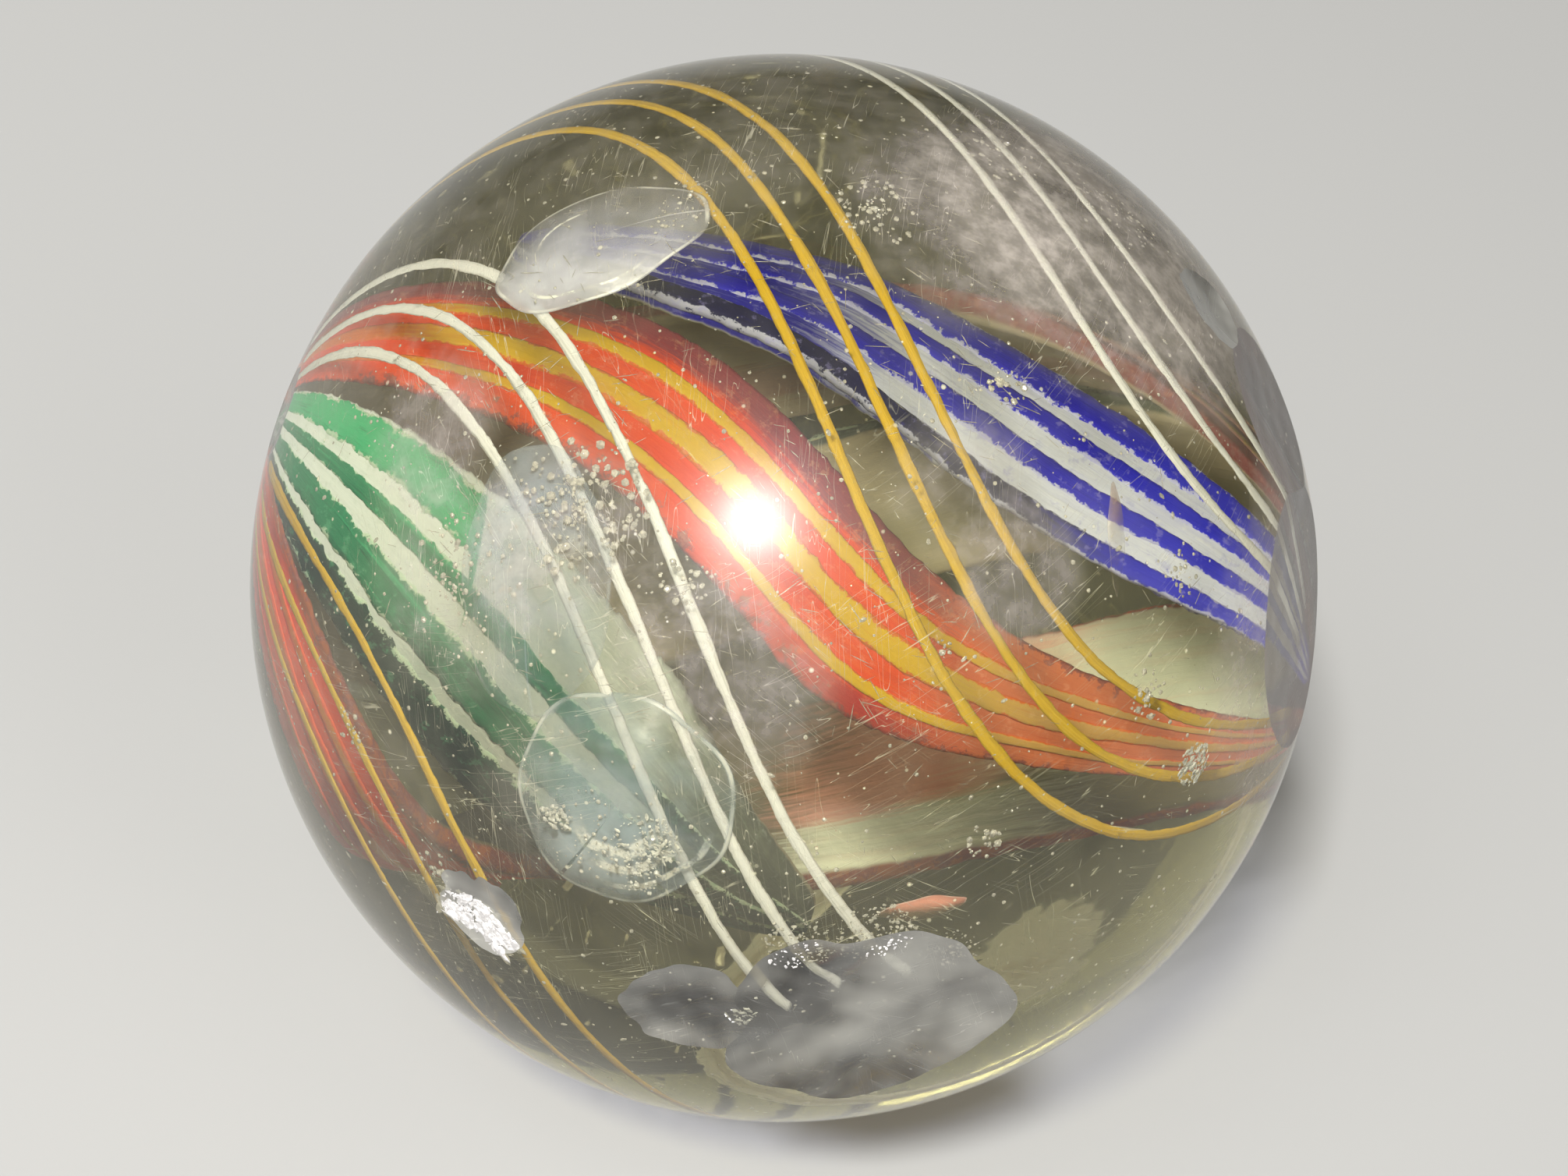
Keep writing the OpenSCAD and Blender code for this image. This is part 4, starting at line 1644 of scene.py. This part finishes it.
# In each moon glass, colour is painted light on the bright side, shadow is painted shade, and the arcs are
# painted glints.
MOONS = (
    Moon("upper_moon", Spot(42.9, 133.7, -100), 1.95 * MM, 1.2 * MM, 0.12 * MM, 0.25 * MM,
         MoonGlass("upper moon glass", veil=0.52, cloud=0.46, bright_turn=250.0, rim=0.8,
                   colour=(0.76, 0.77, 0.96), shadow=(0.44, 0.45, 0.60),
                   arcs=((0.8, 0.03, 250.0, 60.0), (0.62, 0.03, 120.0, 35.0))), pointed=0.1),
    Moon("lower_moon", Spot(27.6, -112.0, 0), 1.95 * MM, 1.9 * MM, 0.12 * MM, 0.45 * MM,
         MoonGlass("lower moon glass", veil=0.42, cloud=0.22, bright_turn=20.0, rim=0.8,
                   colour=(0.60, 0.72, 0.92), shadow=(0.24, 0.36, 0.48),
                   arcs=((0.42, 0.09, 35.0, 80.0), (0.60, 0.07, 48.0, 60.0), (0.80, 0.05, 64.0, 50.0)))),
    Moon("pink_lens", Spot(36.3, -51.3, 72), 0.78 * MM, 0.23 * MM, 0.14 * MM, 0.05 * MM,
         MoonGlass("pink lens glass", veil=0.6, cloud=0.7, bright_turn=60.0, rim=0.6,
                   colour=(0.78, 0.33, 0.26), shadow=(0.16, 0.13, 0.07)), pointed=0.5),
    Moon("brown_crack", Spot(35.0, 24.0, 81), 0.95 * MM, 0.17 * MM, 0.25 * MM, 0.05 * MM,
         MoonGlass("brown crack glass", veil=0.7, cloud=0.3, bright_turn=0.0, rim=0.3,
                   colour=(0.42, 0.29, 0.24), shadow=(0.24, 0.16, 0.13)), pointed=0.6),
    Moon("left_moon", Spot(25.6, -166.3, 90), 2.3 * MM, 1.4 * MM, 0.15 * MM, 0.35 * MM,
         MoonGlass("left moon glass", veil=0.24, cloud=0.12, bright_turn=200.0, rim=0.22,
                   colour=(0.50, 0.62, 0.88), shadow=(0.30, 0.40, 0.56))),
)
CRUSHED_MARKS = (
    Grains("fine_grains", FRONT, 180, 4600, 0.026, size_range=2.6, depth=0.10, gathered=1.0, seed=3),
    Grains("mid_grains", FRONT, 180, 420, 0.040, size_range=2.2, depth=0.12, gathered=1.0, stretch=2.0,
           flat=0.6, seed=5),
    Grains("crushed_top", Spot(21.3, 173.9), 7.0, 190, 0.05, size_range=2.6, depth=0.10, seed=7),
    Grains("crushed_left", Spot(33.0, -165.2), 7.0, 110, 0.04, size_range=2.2, depth=0.10, seed=9),
    Grains("crushed_front", Spot(9.8, -168.4), 3.0, 34, 0.05, size_range=2.0, depth=0.08, seed=11),
    Grains("crushed_blue", Spot(41.4, 91.7), 4.5, 70, 0.04, size_range=2.4, depth=0.08, seed=13),
    Grains("crushed_upper", Spot(59.1, 79.5), 5.0, 46, 0.045, size_range=2.0, depth=0.08, seed=15),
    Grains("crushed_corner", Spot(62.8, 63.5), 5.0, 60, 0.04, size_range=2.0, depth=0.08, seed=17),
    Grains("crushed_stripe", Spot(30.0, 57.8), 2.2, 26, 0.05, size_range=2.0, depth=0.08, seed=19),
    Grains("crushed_right", Spot(40.1, -1.2), 2.6, 40, 0.05, size_range=2.0, depth=0.08, seed=21),
    Grains("crushed_pit", Spot(32.7, -36.3), 2.0, 30, 0.05, size_range=2.2, depth=0.08, seed=23),
    Grains("crushed_dot", Spot(16.2, -5.1), 0.9, 8, 0.05, size_range=1.5, depth=0.08, seed=25),
    Grains("crushed_far_right", Spot(42.3, 17.4), 2.4, 26, 0.05, size_range=2.0, depth=0.08, seed=27),
    Grains("crushed_edge", Spot(52.3, -146.7), 2.4, 26, 0.05, size_range=2.0, depth=0.08, seed=29),
    Grains("crushed_low_left", Spot(51.1, -125.5), 3.0, 34, 0.05, size_range=2.4, depth=0.08, seed=31),
    Grains("crumbs_top", Spot(52.4, -121.0), 2.2, 50, 0.09, size_range=3.2, depth=-0.02, gathered=1.2,
           stretch=2.4, flat=0.25, seed=33),
    Grains("crumbs_middle", Spot(51.0, -117.1), 2.4, 66, 0.09, size_range=3.2, depth=-0.02, gathered=1.2,
           stretch=2.4, flat=0.25, seed=53),
    Grains("crumbs_bottom", Spot(51.4, -113.1), 2.0, 44, 0.09, size_range=3.2, depth=-0.02, gathered=1.2,
           stretch=2.4, flat=0.25, seed=55),
    Grains("crushed_moon", Spot(31.5, -113.0), 5.0, 60, 0.03, size_range=2.2, depth=0.10, seed=35),
    Grains("crushed_flake_rim", Spot(37.2, -72.0), 3.6, 150, 0.028, size_range=2.2, depth=-0.01,
           gathered=1.1, stretch=1.6, flat=0.5, seed=37),
    Grains("crushed_flake_top", Spot(37.4, -60.0), 4.2, 190, 0.028, size_range=2.4, depth=-0.01,
           gathered=1.1, stretch=1.6, flat=0.5, seed=38),
    Grains("crushed_flake_end", Spot(43.0, -50.0), 3.0, 70, 0.028, size_range=2.2, depth=-0.01,
           gathered=1.1, stretch=1.6, flat=0.5, seed=40),
    Grains("crushed_moon_top", Spot(42.0, 121.0), 4.0, 46, 0.03, size_range=2.4, depth=0.08, seed=39),
)
FOAM_MARKS = (
    Grains("foam_arc", Spot(29.2, -102.5), 3.4, 150, 0.030, size_range=2.6, depth=0.06, gathered=1.2,
           stretch=2.0, flat=0.4, seed=57),
    Grains("foam_left", Spot(32.7, -119.5), 1.3, 44, 0.030, size_range=2.2, depth=0.06, gathered=1.2,
           stretch=2.0, flat=0.4, seed=59),
    Grains("foam_blob", Spot(50.2, -7.9), 2.3, 240, 0.036, size_range=2.0, depth=0.04, gathered=1.1,
           stretch=1.8, flat=0.5, spin=75.0, spin_range=60.0, seed=58),
    Grains("foam_flake", Spot(48.1, -80.5), 1.5, 36, 0.040, size_range=2.4, depth=-0.02, gathered=1.2,
           stretch=2.4, flat=0.4, seed=60),
)
SPARK_MARKS = (
    Grains("sparks", FRONT, 180, 90, 0.03, size_range=1.5, depth=0.08, gathered=1.0, seed=41),
    Grains("moon_sparks", Spot(27.2, -102.3), 1.6, 18, 0.035, size_range=1.8, depth=0.06, seed=43),
    Grains("low_moon_sparks", Spot(32.7, -119.7), 1.6, 30, 0.045, size_range=1.8, depth=0.06, seed=45),
    Grains("arc_sparks", Spot(32.3, -102.0), 2.6, 60, 0.035, size_range=2.2, depth=0.06, seed=46),
    Grains("left_sparks", Spot(24.0, 178.0), 7.0, 30, 0.03, size_range=2.0, depth=0.06, seed=47),
    Grains("blue_sparks", Spot(41.4, 91.7), 1.6, 16, 0.035, size_range=2.0, depth=0.06, seed=49),
    Grains("green_sparks", Spot(45.4, 175.3), 5.0, 26, 0.03, size_range=1.8, depth=0.06, seed=51),
)
HAIR_MARKS = (
    Grains("all_hairs", FRONT, 180, 900, 0.038, size_range=1.6, depth=0.05, gathered=1.0, stretch=30.0,
           flat=1.0, seed=61),
    Grains("front_hairs", Spot(20, 120), 34, 420, 0.038, size_range=1.6, depth=0.05, gathered=0.8,
           stretch=30.0, flat=1.0, spin=60.0, spin_range=50.0, seed=63),
)


def build_marks(swirl: Swirl) -> None:
    """Makes the moon cracks and the crushed grains and hairs under the skin.

    Args:
        swirl: the rule of the ball that they lie in.
    """
    for moon in MOONS:
        moon.build(swirl)
    tree = grain_tree(swirl, WORN)
    for name, marks, finish in (("crushed_grains", CRUSHED_MARKS, CRUSHED), ("glass_foam", FOAM_MARKS, FOAM),
                                ("sparks", SPARK_MARKS, SPARK), ("glass_hairs", HAIR_MARKS, HAIR)):
        material = finish.material()
        meshes = [mark.build(swirl, tree, material) for mark in marks]
        placed(name, joined(name, meshes), "clear_glass")


def main() -> None:
    """Builds the marble and its stage, in order."""
    logging.basicConfig(level=logging.INFO, format="%(name)s: %(message)s")
    swirl = Swirl()
    Studio(swirl).build()
    build_core(swirl)
    ClearBall(swirl).build()
    build_marks(swirl)


if __name__ == "__main__":
    main()
